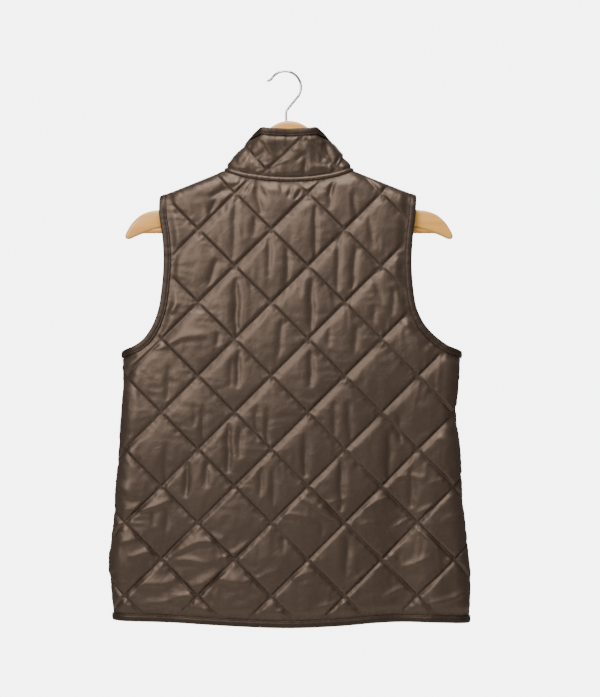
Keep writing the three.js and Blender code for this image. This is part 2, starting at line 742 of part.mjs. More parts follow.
function hemBinding() {
  const round = (side) => {
    const sign = side === 'left' ? -1 : 1;
    const line = lines[side].hem.map((p) => p.clone());
    const start = new THREE.Vector2(sign * zipGap, hemZ(sign * zipGap) + bindingInset);
    const frontLine = [start, ...line.filter((p) => Math.abs(p.x) > zipGap + 1)];
    return {
      front: stationsOn(thinned(frontLine, frontCloth, edgeError.hem), frontCloth, -sign),
      back: stationsOn(thinned(line, backCloth, edgeError.hem), backCloth, -sign),
    };
  };
  const [left, right] = [round('left'), round('right')];
  return binding(
    [...right.front.slice(0, -1), ...right.back.slice(1).reverse(), ...left.back.slice(0, -1), ...left.front.reverse()],
    false,
  );
}

function collarBinding() {
  const steps = 120;
  const fine = Array.from({ length: steps + 1 }, (_, i) => new THREE.Vector2(neckLength * ((2 * i) / steps - 1), collarEdge));
  return binding(stationsOn(thinned(fine, collarCloth, edgeError.collar), collarCloth, 1), false);
}

// Piping outside the seam between collar and vest
function neckPiping() {
  const halfLine = neckline.map((row) => {
    const clear = (wall / 2 + pipingRadius + pipingEase) / Math.cos(row.fold);
    return row.middle.clone().addScaledVector(row.away, row.gap / 2).addScaledVector(row.out, clear);
  });
  const mirrored = halfLine.slice(1).map((p) => new THREE.Vector3(2 * middle - p.x, p.y, p.z));
  const path = thinned([...mirrored.reverse(), ...halfLine], null, edgeError.piping);
  const sidesRound = 6;
  const rings = path.map((point, i) => {
    const run = path[Math.min(path.length - 1, i + 1)].clone().sub(path[Math.max(0, i - 1)]).normalize();
    const across = new THREE.Vector3(0, 0, 1).cross(run).normalize();
    const up = run.clone().cross(across);
    return Array.from({ length: sidesRound }, (_, j) => {
      const turn = (2 * Math.PI * j) / sidesRound;
      return point
        .clone()
        .addScaledVector(across, pipingRadius * Math.cos(turn))
        .addScaledVector(up, pipingRadius * Math.sin(turn));
    });
  });
  const section = Array.from({ length: sidesRound }, (_, j) => {
    const turn = (2 * Math.PI * j) / sidesRound;
    return new THREE.Vector2(Math.cos(turn), Math.sin(turn));
  });
  return loft(rings, false, section);
}

// The zip runs up the middle of the front and on up the collar

const neckFrontZ = neckZ - frontNeckDrop;
const zipFoot = hemZ(0) + 2;
const zipTop = collarHeight - 4;

// A point of the zip at a station: u across, n out.
// Stations are { w } on the front, { corner } at the neck seam or { v } on the collar.
function zipPlace(station, u, n) {
  if (station.v !== undefined) return collarCloth.place(neckLength - u + zipGap, station.v, n);
  if (station.w !== undefined) return frontCloth.place(u, station.w, n);
  const seamAt = (row) => {
    const at = row.middle.clone().addScaledVector(row.away, row.gap / 2);
    return at.addScaledVector(row.out, (n - wall / 2) / Math.cos(row.fold));
  };
  const last = neckline.length - 1;
  const next = neckline.findIndex((row, i) => i === last || (row.face > 0 && row.x <= u));
  const [a, b] = [neckline[next - 1], neckline[next]];
  return seamAt(a).lerp(seamAt(b), (a.x - u) / (a.x - b.x)).setX(middle + u);
}

function zipStations(from, to) {
  const steps = 16;
  const low = neckFrontZ - 5;
  const front = Array.from({ length: steps + 1 }, (_, i) => ({ w: from + ((low - from) * i) / steps }));
  const collarSteps = 4;
  const collar = Array.from({ length: collarSteps + 1 }, (_, i) => ({ v: 4 + ((to - 4) * i) / collarSteps }));
  return [...front, { corner: true }, ...collar];
}

// A strip of the zip between two distances from the middle
function zipStrip(from, to, under, over, low, high, mirror) {
  const section = [[from, under], [to, under], [to, over], [from, over]];
  const rings = zipStations(low, high).map((station) =>
    section.map(([u, n]) => {
      const p = zipPlace(station, u, n);
      return mirror ? p.setX(2 * middle - p.x) : p;
    }),
  );
  return loft(rings, false, section.map(([u, n]) => new THREE.Vector2(u, n)));
}

const zipTape = (mirror) =>
  zipStrip(tape.from, tape.to, tape.under, tape.over, zipFoot + tapeStop, collarEdge - bindingWide - 1, mirror);

function zipChain() {
  const section = [[-chainHalf, chain.under], [chainHalf, chain.under], [chainHalf, chain.over], [-chainHalf, chain.over]];
  const rings = zipStations(zipFoot, zipTop).map((station) => {
    const mid = zipMiddle(station);
    return section.map(([u, n]) => mid.point.clone().add(new THREE.Vector3(u, 0, 0)).addScaledVector(mid.normal, n));
  });
  return loft(rings, false, section.map(([u, n]) => new THREE.Vector2(u, n)));
}

// The middle line of the zip, with its normal and its way up
function zipMiddle(station) {
  const point = zipPlace(station, zipGap, 0).setX(middle);
  const normal = zipPlace(station, zipGap, 1).setX(middle).sub(point).setX(0).normalize();
  return { point, normal, up: new THREE.Vector3(1, 0, 0).cross(normal) };
}

// Slider and pull stand on the zip's line at the top of the collar
const sliderAt = zipMiddle({ v: zipTop - slider.below });

// A place from the zip's own axes: across, along the zip upwards, out
function onZip(geometry) {
  const basis = new THREE.Matrix4().makeBasis(new THREE.Vector3(-1, 0, 0), sliderAt.up, sliderAt.normal);
  return geometry.applyMatrix4(basis.setPosition(sliderAt.point));
}

function roundedPlate(wide, long, radius) {
  const [a, b] = [wide / 2, long / 2];
  const shape = new THREE.Shape();
  shape.moveTo(-a + radius, -b).lineTo(a - radius, -b).absarc(a - radius, -b + radius, radius, -quarter, 0);
  shape.lineTo(a, b - radius).absarc(a - radius, b - radius, radius, 0, quarter);
  shape.lineTo(-a + radius, b).absarc(-a + radius, b - radius, radius, quarter, 2 * quarter);
  shape.lineTo(-a, -b + radius).absarc(-a + radius, -b + radius, radius, 2 * quarter, 3 * quarter);
  return shape;
}

function archShape(long, high, foot) {
  const shape = new THREE.Shape();
  const radius = Math.min(high, long / 2) * 0.9;
  shape.moveTo(-long / 2, -foot).lineTo(long / 2, -foot).lineTo(long / 2, high - radius);
  shape.absarc(long / 2 - radius, high - radius, radius, 0, quarter);
  shape.lineTo(-long / 2 + radius, high).absarc(-long / 2 + radius, high - radius, radius, quarter, 2 * quarter);
  return shape;
}

function zipSlider() {
  const height = slider.over - slider.under;
  const plate = new THREE.ExtrudeGeometry(roundedPlate(slider.wide, slider.long, 2.2), {
    depth: height,
    bevelEnabled: false,
    curveSegments: 4,
  });
  plate.translate(0, 0, slider.under);
  const keelDepth = slider.under - chain.over - seam + 0.5;
  const keel = new THREE.BoxGeometry(2 * slider.keelHalf, slider.long - 3, keelDepth);
  keel.translate(0, 0, slider.under + 0.5 - keelDepth / 2);
  const arch = archShape(bridge.long, bridge.high, 0.8);
  arch.holes.push(new THREE.Path(archShape(bridge.long - 2.4 * bridge.bar, bridge.high - bridge.bar, 0).getPoints(4)));
  const hoop = new THREE.ExtrudeGeometry(arch, { depth: bridge.wide, bevelEnabled: false, curveSegments: 4 });
  // The arch is drawn along the zip and extruded across it
  hoop.translate(0, 0, -bridge.wide / 2).applyMatrix4(new THREE.Matrix4().makeBasis(
    new THREE.Vector3(0, 1, 0), new THREE.Vector3(0, 0, 1), new THREE.Vector3(1, 0, 0)));
  hoop.translate(0, 0, slider.over - 0.2);
  return onZip(fromSolid(toSolid(plate).add(toSolid(keel)).add(toSolid(hoop))));
}

// The pull's cross bar lies in the bridge, and its axis is the hinge
const hingeOut = slider.over - 0.2 + bridge.high - bridge.bar - pull.bar / 2 - 0.6;
const hinge = sliderAt.point.clone().addScaledVector(sliderAt.normal, hingeOut);

function zipPull() {
  const plate = new THREE.Shape();
  const [half, radius] = [pull.wide / 2, 3];
  const head = pull.bar / 2;
  plate.moveTo(half, -pull.long + radius).lineTo(half, head).lineTo(-half, head).lineTo(-half, -pull.long + radius);
  plate.absarc(-half + radius, -pull.long + radius, radius, 2 * quarter, 3 * quarter, false);
  plate.absarc(half - radius, -pull.long + radius, radius, -quarter, 0, false);
  const slot = new THREE.Path();
  const slotHalf = pull.slotWide / 2;
  slot.moveTo(-slotHalf, -head).lineTo(slotHalf, -head).lineTo(slotHalf, -head - pull.slotLong);
  slot.lineTo(-slotHalf, -head - pull.slotLong);
  plate.holes.push(slot);
  const grip = new THREE.Path().absarc(0, -pull.long + 4.2, 1.5, 0, 2 * Math.PI, false);
  plate.holes.push(grip);
  const geometry = new THREE.ExtrudeGeometry(plate, { depth: pull.thick, bevelEnabled: false, curveSegments: 5 });
  geometry.translate(0, 0, -pull.thick / 2).rotateX(quarter);
  return fromSolid(toSolid(geometry.translate(hinge.x, hinge.y, hinge.z)));
}

// The hanger

// Right half of the wood's outline, from the crown out along the top and back along the bottom
const woodTop = [
  [0, crownTop], [14, -69.5], [27, -77], [39, -89], [54, -107], [71, -126], [80, -134], [88, -140.7], [100, -144.2], [112, -150.5],
  [140, -167], [160, -178.5], [172, -188], [188, -190.5], [202, -195.5], [214, -205.5], [222, -217.5], [225, -226],
];
const woodBottom = [
  [220, -229.3], [206, -223.5], [188, -217], [168, -211], [140, -199], [104, -182], [66, -165], [30, -152], [0, -147],
];

function hangerWood() {
  const half = [...woodTop, ...woodBottom];
  const other = half.slice(1, -1).reverse().map(([x, z]) => [-x, z]);
  const loop = [...half, ...other].map(([x, z]) => new THREE.Vector3(x, z, 0));
  const rounded = new THREE.CatmullRomCurve3(loop, true, 'centripetal').getPoints(38);
  const shape = new THREE.Shape(rounded.slice(0, -1).map((p) => new THREE.Vector2(p.x, p.y)));
  const board = new THREE.ExtrudeGeometry(shape, {
    depth: hangerThick - 2 * woodEdge,
    bevelThickness: woodEdge,
    bevelSize: woodEdge,
    bevelOffset: -woodEdge,
    bevelSegments: 2,
  });
  board.translate(0, 0, -hangerThick / 2 + woodEdge).rotateX(quarter).translate(middle, 0, 0);
  const socket = new THREE.CylinderGeometry(barRadius + seam, barRadius + seam, 2 * (barHalf + seam), 20);
  socket.rotateZ(quarter).translate(middle, 0, barZ);
  const bore = new THREE.CylinderGeometry(wireRadius + seam, wireRadius + seam, 2 * stemDeep, 12);
  bore.rotateX(quarter).translate(stemX, 0, crownTop);
  return fromSolid(toSolid(board).subtract(toSolid(socket)).subtract(toSolid(bore)));
}

function hangerBar() {
  return new THREE.CylinderGeometry(barRadius, barRadius, 2 * barHalf, 20).rotateZ(quarter).translate(middle, 0, barZ);
}

function hangerHook() {
  const centreZ = wireRadius - hookRadius;
  const [startAngle, endAngle, arcSteps] = [-0.8, 2.62, 12];
  const arc = Array.from({ length: arcSteps + 1 }, (_, i) => {
    const turn = startAngle + ((endAngle - startAngle) * i) / arcSteps;
    return new THREE.Vector3(hookRadius * Math.cos(turn), 0, centreZ + hookRadius * Math.sin(turn));
  });
  const stem = [crownTop - stemDeep + seam, crownTop, stemTop].map((z) => new THREE.Vector3(stemX, 0, z));
  const lean = new THREE.Vector3(stemX + 3, 0, stemTop + 5.5);
  const tip = new THREE.Vector3(-24.8, 0, -12.2);
  const path = new THREE.CatmullRomCurve3([...stem, lean, ...arc, tip], false, 'centripetal');
  const circle = new THREE.Shape().absarc(0, 0, wireRadius, 0, 2 * Math.PI, false);
  return new THREE.ExtrudeGeometry(circle, { steps: 28, extrudePath: path, curveSegments: 4, bevelEnabled: false });
}

// Materials

const paint = (color, roughness, metalness = 0) => new THREE.MeshStandardMaterial({ color, roughness, metalness });
const cloth = paint(0x5e4f44, 0.42);
const trim = paint(0x4a3b32, 0.5);
const tapeCloth = paint(0x3f332b, 0.8);
const teeth = paint(0x40342c, 0.45);
const brass = paint(0x6b5a48, 0.35, 0.8);
const wood = paint(0xdcb27a, 0.5);
const chrome = paint(0xc4c6c8, 0.2, 1);

const vest = new THREE.Group();
const add = (name, geometry, material) => {
  const mesh = new THREE.Mesh(geometry, material);
  mesh.name = name;
  vest.add(mesh);
};
add('back_panel', backPanel(), cloth);
add('front_left', frontPanel('left'), cloth);
add('front_right', frontPanel('right'), cloth);
add('collar', collarPiece(), cloth);
add('armhole_binding_left', armholeBinding('left'), trim);
add('armhole_binding_right', armholeBinding('right'), trim);
add('hem_binding', hemBinding(), trim);
add('collar_binding', collarBinding(), trim);
add('neck_piping', neckPiping(), trim);
add('zip_tape_right', zipTape(false), tapeCloth);
add('zip_tape_left', zipTape(true), tapeCloth);
add('zip_chain', zipChain(), teeth);
add('zip_slider', zipSlider(), brass);
add('zip_pull', zipPull(), brass);
add('hanger_wood', hangerWood(), wood);
add('hanger_bar', hangerBar(), wood);
add('hanger_hook', hangerHook(), chrome);

export default vest;
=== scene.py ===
# A quilted vest on a wooden hanger: its cloth, seams, zip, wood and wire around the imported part.
# The vest's back faces -Y and its front faces +Y. The origin is the inside top of the hanger's hook.
# Sizes are in millimetres, and each finished mesh is written in metres.
import math

import bmesh
import bpy
import numpy as np
from mathutils import Matrix, Vector


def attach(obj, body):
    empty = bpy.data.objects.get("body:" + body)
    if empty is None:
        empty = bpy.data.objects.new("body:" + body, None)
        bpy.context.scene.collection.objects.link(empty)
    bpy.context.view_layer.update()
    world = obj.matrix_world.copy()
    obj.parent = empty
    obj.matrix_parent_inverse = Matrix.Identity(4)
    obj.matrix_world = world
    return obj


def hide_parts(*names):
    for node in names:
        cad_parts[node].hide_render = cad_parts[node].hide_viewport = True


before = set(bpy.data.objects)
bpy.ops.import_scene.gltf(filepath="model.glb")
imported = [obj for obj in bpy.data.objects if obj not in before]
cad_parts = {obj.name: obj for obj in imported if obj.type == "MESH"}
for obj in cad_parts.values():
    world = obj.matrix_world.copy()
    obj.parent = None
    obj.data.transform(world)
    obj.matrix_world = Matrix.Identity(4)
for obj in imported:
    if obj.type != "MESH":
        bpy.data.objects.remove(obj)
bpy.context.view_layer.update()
MM = 0.001
QUARTER = math.pi / 2


# A short table: the columns' names, then its rows
def table(names, *rows):
    return {name: np.array(column, float) for name, column in zip(names.split(), zip(*rows))}


# The cloth's sizes
MIDDLE = 5.5  # the vest's and the hanger's middle, to the right of the hook's point of rest
WALL = 2.0  # quilted cloth where a stitch line presses it flat
PUFF = 5.0  # how far the padding rises in the middle of a diamond
COLLAR_PUFF = 2.8
SEAM = -0.2  # sewn edges lie this little way into each other
DIAMOND_HALF = 50.0
DIAMOND_SIDE = DIAMOND_HALF * math.sqrt(2)
SEWN_MARGIN = 3.0
BOUND_MARGIN = 9.0
NECK_MARGIN = 4.0
RISE_OVER = 13.0
SIDE_ROLL, SIDE_ARC = 20.0, 38.0
SHOULDER_ROLL, SHOULDER_ARC = 14.0, 19.5
BOW = 0.28

# The outline from behind: distances from the middle
SIDES = table(
    "z left right",
    (-756, 240, 247), (-712, 243.5, 249), (-670, 247, 247.5), (-615, 240.5, 240.5), (-560, 236.5, 236.5),
    (-505, 232.5, 233), (-464, 229, 229), (-420, 228, 233), (-384, 228, 236),
)
ARMHOLES = table(
    "z left right",
    (-377, 214, 221), (-368, 201, 207), (-354, 190, 191.5), (-338, 182.5, 180.5), (-315, 176.5, 172.5),
    (-270, 172, 168), (-231, 173, 169.5), (-195, 178, 173.5),
)
UNDERARM_Z = -384.0
HEMS = table(
    "x z",
    (-245, -752), (-170, -754), (-60, -759.5), (5, -761), (70, -758.5), (120, -754.5), (170, -753.5),
    (252, -756),
)
SHOULDER_TIP = {-1: 177.0, 1: 175.0}
NECK_HALF, NECK_Z, SHOULDER_FALL = 85.0, -135.8, 0.405
BACK_NECK_DROP, FRONT_NECK_DROP = 12.0, 76.2

# How far the inner face of the cloth lies behind and in front of the hanger
DEPTHS = table(
    "z back front",
    (-760, 30, 33), (-640, 32, 36), (-500, 34, 38), (-384, 31, 36), (-300, 25, 30), (-212, 18, 25),
    (-137, 10.5, 10.5),
)
# Soft upright folds of the whole cloth, deep counted out from the body
FOLDS = table(
    "face x wide deep start",
    (-1, -5, 80, 4, -430), (-1, -158, 30, -4, -450), (-1, 150, 28, -5, -400), (-1, 196, 20, 3, -440),
    (1, -105, 38, 5, -400), (1, -175, 26, -4, -460), (1, 88, 34, 4, -450), (1, 160, 30, -5, -420),
)
FOLD_GROWS = 220.0

# The collar's top edge, one half, by distance from the middle of the back
COLLAR_HEIGHT = 73.0
SWELL_WAY = (0.3, -0.75, 0.6)
COLLAR_TOP = table(
    "along x y z swell",
    (0, 0, -14, -78.5, 0), (28, 28, -14.5, -77, 0), (37, 36, -12.5, -76, 0), (45, 39.5, -8, -79.5, 1.2),
    (54, 44, 0, -84, 4), (66, 48.5, 10.5, -89.5, 6.5), (80, 53, 24, -95, 5), (95, 56, 38, -101, 2.5),
    (125, 57, 58, -122, 1), (157, 47, 69, -145, 0), (190, 25, 75, -156, 0), (220, 4, 77, -160, 0),
)
COLLAR_TOP_LENGTH = 220.0
ZIP_GAP = 4.0

# Where the quilting's stitch lines cross
BACK_CROSSING = (25.4, -268.0)
FRONT_CROSSING = (0.0, -290.0)
COLLAR_CROSSING = (-31.6, 11.0)


def ease(value):
    t = np.clip(value, 0, 1)
    return t * t * (3 - 2 * t)


# A smooth curve from one value to the next, with its slopes at both ends
def curve(t, low, low_slope, high, high_slope):
    return (
        (2 * t**3 - 3 * t**2 + 1) * low
        + (t**3 - 2 * t**2 + t) * low_slope
        + (3 * t**2 - 2 * t**3) * high
        + (t**3 - t**2) * high_slope
    )


# A table's column at places between its rows, as a smooth curve
def read(rows, key, at, column):
    order = np.argsort(rows[key])
    xs, ys = rows[key][order], rows[column][order]
    slopes = np.empty_like(ys)
    slopes[1:-1] = (ys[2:] - ys[:-2]) / (xs[2:] - xs[:-2])
    slopes[0] = (ys[1] - ys[0]) / (xs[1] - xs[0])
    slopes[-1] = (ys[-1] - ys[-2]) / (xs[-1] - xs[-2])
    at = np.clip(at, xs[0], xs[-1])
    i = np.clip(np.searchsorted(xs, at) - 1, 0, len(xs) - 2)
    step = xs[i + 1] - xs[i]
    t = (at - xs[i]) / step
    return curve(t, ys[i], step * slopes[i], ys[i + 1], step * slopes[i + 1])


def side_half(x, z):
    return np.where(x < 0, read(SIDES, "z", z, "left"), read(SIDES, "z", z, "right")) - WALL


def ridge_z(x):
    return NECK_Z - SHOULDER_FALL * (np.abs(x) - NECK_HALF)


def ridge_top(x):
    return ridge_z(x) - SHOULDER_ROLL + SHOULDER_ARC


# Depth of the cloth's inner face
def depth_at(x, z, face):
    depth = read(DEPTHS, "z", z, "back" if face < 0 else "front") * (1 - BOW * (x / side_half(x, z)) ** 2)
    for owner, middle, wide, deep, start in zip(*FOLDS.values()):
        if owner == face:
            depth = depth + deep * np.exp(-(((x - middle) / wide) ** 2)) * ease((start - z) / FOLD_GROWS)
    return depth


# From the flat cut (u across, w up) to the inner face of the hanging cloth
def hang(u, w, face):
    flat_to = side_half(u, w) - SIDE_ROLL
    over = np.abs(u) - flat_to
    turn = QUARTER * (1 - over / SIDE_ARC)
    x = np.where(over > 0, np.sign(u) * (flat_to + SIDE_ROLL * np.cos(turn)), u)
    side = np.where(over > 0, np.sin(turn), 1)
    roll_from = ridge_z(x) - SHOULDER_ROLL
    above = w - roll_from
    turn = QUARTER * (1 - above / SHOULDER_ARC)
    z = np.where(above > 0, roll_from + SHOULDER_ROLL * np.cos(turn), w)
    lift = np.where(above > 0, np.sin(turn), 1)
    return np.stack([x + MIDDLE, face * depth_at(x, z, face) * side * lift, z], axis=-1)


# From a place in the outline to the flat cut
def flat_place(x, z):
    flat_to = side_half(x, z) - SIDE_ROLL
    over = np.abs(x) - flat_to
    turned = 1 - np.arccos(np.clip(over / SIDE_ROLL, -1, 1)) / QUARTER
    u = np.where(over > 0, np.sign(x) * (flat_to + SIDE_ARC * turned), x)
    roll_from = ridge_z(x) - SHOULDER_ROLL
    above = z - roll_from
    turned = 1 - np.arccos(np.clip(above / SHOULDER_ROLL, -1, 1)) / QUARTER
    w = np.where(above > 0, roll_from + SHOULDER_ARC * turned, z)
    return np.stack([u, w], axis=-1)


def unit(vectors):
    return vectors / np.maximum(np.linalg.norm(vectors, axis=-1, keepdims=True), 1e-9)


# The ways along a line of points
def runs(line):
    run = np.empty_like(line)
    run[1:-1], run[0], run[-1] = line[2:] - line[:-2], line[1] - line[0], line[-1] - line[-2]
    return unit(run)


# How far along a line each of its points lies
def distances(line):
    return np.concatenate([[0], np.cumsum(np.linalg.norm(np.diff(line, axis=0), axis=1))])


# A cloth surface: its points, ways and outward normals for places on the flat cut
class Cloth:
    def __init__(self, point, outward):
        self.point = point
        self.outward = outward

    def ways(self, u, v, small=0.4):
        u, v = np.asarray(u, float), np.asarray(v, float)
        across = unit(self.point(u + small, v) - self.point(u - small, v))
        up = unit(self.point(u, v + small) - self.point(u, v - small))
        return across, up, unit(np.cross(across, up)) * self.outward

    def place(self, u, v, n):
        u, v = np.asarray(u, float), np.asarray(v, float)
        n = np.asarray(n, float)[..., None]
        return self.point(u, v) + self.ways(u, v)[2] * n


back_cloth = Cloth(lambda u, w: hang(u, w, -1), 1)
front_cloth = Cloth(lambda u, w: hang(u, w, 1), -1)


# The neckline, from the middle of the back over the right shoulder to the zip
def neckline_rows():
    steps = 24
    back = QUARTER * np.arange(steps, 0, -1) / steps
    front = math.acos(ZIP_GAP / NECK_HALF) * (np.arange(steps + 1) / steps) ** 1.6
    x = NECK_HALF * np.cos(np.concatenate([back, front]))
    back_z = NECK_Z - BACK_NECK_DROP * np.sin(back) ** 2
    front_z = NECK_Z - FRONT_NECK_DROP * np.sin(front)
    z = np.concatenate([back_z, front_z])
    face = np.concatenate([-np.ones(len(back)), np.ones(len(front))])
    flat = flat_place(x, z)
    flat[len(back)] = (NECK_HALF, ridge_top(NECK_HALF))
    is_back = (face < 0)[:, None]
    u, w = flat.T
    point = np.where(is_back, back_cloth.point(u, w), front_cloth.point(u, w))
    normal = np.where(is_back, back_cloth.ways(u, w)[2], front_cloth.ways(u, w)[2])
    run = runs(point)
    along = distances(point)
    top = along / along[-1] * COLLAR_TOP_LENGTH
    head = np.stack([read(COLLAR_TOP, "along", top, axis) for axis in "xyz"], axis=1) + (MIDDLE, 0, 0)
    off = unit(np.cross(normal, run))
    swell = 4 * read(COLLAR_TOP, "along", top, "swell")[:, None]
    rise = head - point + swell * np.array(SWELL_WAY)
    rise = unit(rise - run * (rise * run).sum(1, keepdims=True))
    out = unit(np.cross(run, rise))
    fold = np.arccos(np.clip((off * rise).sum(1), -1, 1)) / 2
    gap = SEAM + WALL * np.tan(fold)
    away = unit(off + rise)
    middle = point + normal * WALL / 2
    foot = middle + away * gap[:, None] - out * WALL / 2
    rows = {"along": along, "x": foot[:, 0] - MIDDLE, "y": foot[:, 1], "z": foot[:, 2], "face": face}
    bisector = unit(normal + out)
    return {**rows, "flat": flat, "middle": middle, "away": away, "gap": gap, "out": bisector, "fold": fold}


neckline = neckline_rows()
NECK_LENGTH = neckline["along"][-1]


# The collar, from its flat cut (u along, v up) to its inner face
def stand_collar(u, v):
    along = np.abs(u)
    side = np.where(u < 0, -1, 1)
    top = along / NECK_LENGTH * COLLAR_TOP_LENGTH
    share = v / COLLAR_HEIGHT
    swell = read(COLLAR_TOP, "along", top, "swell") * 4 * share * (1 - share)
    point = []
    for axis, way in zip("xyz", SWELL_WAY):
        low, high = read(neckline, "along", along, axis), read(COLLAR_TOP, "along", top, axis)
        point.append(low + (high - low) * share + swell * way)
    return np.stack([MIDDLE + side * point[0], point[1], point[2]], axis=-1)


collar_cloth = Cloth(stand_collar, 1)


# A smooth line through a few places
def smooth_line(places, steps):
    p = np.array(places, float)
    t = np.linspace(0, len(p) - 1, steps + 1)
    i = np.minimum(t.astype(int), len(p) - 2)
    f = (t - i)[:, None]
    before, a, b, after = p[np.maximum(i - 1, 0)], p[i], p[i + 1], p[np.minimum(i + 2, len(p) - 1)]
    return curve(f, a, (b - before) / 2, b, (after - a) / 2)


# Lines of the flat cut, for one side: sign is -1 for the left and 1 for the right
def side_line(sign):
    z = np.linspace(read(HEMS, "x", sign * 250.0, "z"), UNDERARM_Z, 160)
    return np.stack([sign * (side_half(np.full_like(z, sign), z) - SIDE_ROLL + SIDE_ARC), z], axis=1)


def armhole_line(sign):
    column = "left" if sign < 0 else "right"
    tip = sign * SHOULDER_TIP[sign]
    rows = flat_place(sign * ARMHOLES[column], ARMHOLES["z"])
    return smooth_line([side_line(sign)[-1], *rows, (tip, ridge_top(tip))], 240)


def hem_line(sign, start):
    u = sign * np.linspace(start, abs(side_line(sign)[0][0]), 160)
    line = np.stack([u, read(HEMS, "x", u, "z")], axis=1)
    line[-1] = side_line(sign)[0]
    return line


def shoulder_line(sign):
    x = sign * np.linspace(NECK_HALF, SHOULDER_TIP[sign], 30)
    return np.stack([x, ridge_top(x)], axis=1)


def neck_line(sign, face):
    rows = neckline["flat"][neckline["face"] == face]
    if face < 0:
        rows = np.vstack([rows, (NECK_HALF, ridge_top(NECK_HALF))])
    else:
        rows = rows[::-1]
    return rows * (sign, 1)


# A line moved sideways on the flat cut, to its left for a positive distance
def moved(line, distance):
    run = runs(line)
    return line + np.stack([-run[:, 1], run[:, 0]], axis=1) * distance


EDGE_INSET = 1.8  # a bound edge lies this far inside the binding's outer edge


def cut_lines(sign, face):
    return {
        "hem": moved(hem_line(sign, 0 if face < 0 else ZIP_GAP), sign * EDGE_INSET),
        "side": moved(side_line(sign), sign * SEAM / 2),
        "armhole": moved(armhole_line(sign), sign * EDGE_INSET),
        "shoulder": moved(shoulder_line(sign), -sign * SEAM / 2),
        "neck": neck_line(sign, face),
    }


def half_outline(lines, start):
    hem = lines["hem"]
    corner = np.array([lines["side"][0][0], hem[-1][1]])
    underarm = np.array([lines["side"][-1][0], lines["armhole"][0][1]])
    tip_x = lines["armhole"][-1][0]
    tip = np.array([tip_x, ridge_top(tip_x) - SEAM / 2])
    neck_corner = lines["neck"][-1] - (0, SEAM / 2)
    parts = [
        hem[:-1], [corner], lines["side"][1:-1], [underarm], lines["armhole"][1:-1], [tip],
        lines["shoulder"][1:-1][::-1], [neck_corner], lines["neck"][:-1][::-1],
    ]
    return np.vstack(parts)


# Distance from places on the flat cut to a line, and the nearest places on it
def nearest(line, places):
    best = np.full(len(places), np.inf)
    spot = np.array(places)
    for a, b in zip(line[:-1], line[1:]):
        way = b - a
        t = np.clip(((places - a) @ way) / max(way @ way, 1e-12), 0, 1)
        on = a + t[:, None] * way
        far = np.linalg.norm(places - on, axis=1)
        closer = far < best
        best[closer], spot[closer] = far[closer], on[closer]
    return best, spot


def inside(outline, places):
    x, y = places.T
    found = np.zeros(len(places), bool)
    for (ax, ay), (bx, by) in zip(outline, np.roll(outline, -1, axis=0)):
        if ay != by:
            found ^= ((ay > y) != (by > y)) & (x < (bx - ax) * (y - ay) / (by - ay) + ax)
    return found


# Meshes and objects: their materials, and the bodies they are attached to

def new_object(name, data):
    piece = bpy.data.objects.new(name, data)
    bpy.context.scene.collection.objects.link(piece)
    return piece


def mesh_of(name, bm):
    mesh = bpy.data.meshes.new(name)
    bm.to_mesh(mesh)
    bm.free()
    return mesh


def shade_smooth(mesh):
    mesh.polygons.foreach_set("use_smooth", [True] * len(mesh.polygons))


def smooth_piece(name, bm):
    mesh = mesh_of(name, bm)
    shade_smooth(mesh)
    return new_object(name, mesh)


def round_edges(bm, edges, radius, segments, clamped=False):
    bmesh.ops.bevel(
        bm, geom=edges, offset=radius * MM, segments=segments, profile=0.5, affect="EDGES",
        clamp_overlap=clamped, material=-1,
    )


def finish_piece(piece, material, slot_name, body="vest", *nodes):
    piece.data.materials.clear()
    piece.data.materials.append(material)
    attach(piece, body)
    if nodes:
        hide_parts(*nodes)
    return piece


# The quilted cloth
OUTER_CELLS = 32  # squares of the outer face's mesh along a diamond's side
INNER_CELLS = 8
CROWDED = 0.4  # how much closer the mesh's rows lie beside a stitch line
SAG = 0.28  # how far the padding has sunk into the lower half of its diamond
UPPER_SLOPE = 10.0  # how far the cloth slopes up under a diamond's upper edges
HEM_SLOPE = 5.0  # and the same near the hem, where the cloth hangs straighter
HEM_SLOPE_Z, HEM_SLOPE_OVER = -650.0, 250.0  # up to this height, and over how much the slope grows
SLOPE_BEND = 0.03  # how softly a slope bends into the flat
LOWER_SLOPE = 3.2  # above its lower edges, where it has sunk against the stitches
# Troughs and ridges: how much taller than written below, how far and how slowly they wander, how round
TROUGH = (2.2, 0.1, 6, 1.45)
RIDGE = (1.7, 0.45, 11, 2.0)
RIDGE_SIDES = (0.45, 1.4)  # a ridge's width below and above its top, as shares of the width written
CREASE_END = 0.45  # how wide a crease still is at its ends
CREASE_CLEAR = 3.5  # creases fade out this near a stitch line
QUILT_DOME = 0.36  # share of the padding's height that is a round dome, and the rest is a flat top
COLLAR_RISE_OVER = 5.0
PUFF_UNEVEN, PUFF_LUMP = 0.12, 45.0  # how unevenly the padding is filled
PUCKER, PUCKER_WIDE, PUCKER_LONG = 0.8, 3.6, 5.5  # small folds across the stitch lines
GATHER, GATHER_LONG = 1.0, 11.0  # and square to the edges
CRINKLE, CRINKLE_INSIDE = 0.8, 0.45  # small crinkles, and the share of them far from the edges
CRINKLE_EDGE, CRINKLE_PATCH = 60.0, 38.0  # how far the edges' crinkles reach, and the size of a patch
# Crinkles of both ways: how they are drawn out, how far and how slowly they sway, and how wide they are
CRINKLE_UPRIGHT = ((1.0, 0.42), 5, 24, 10)
CRINKLE_LEVEL = ((0.4, 1.0), 4, 30, 9)
LOWEST = -0.2  # the shell cloth is never pressed deeper than this into its wall


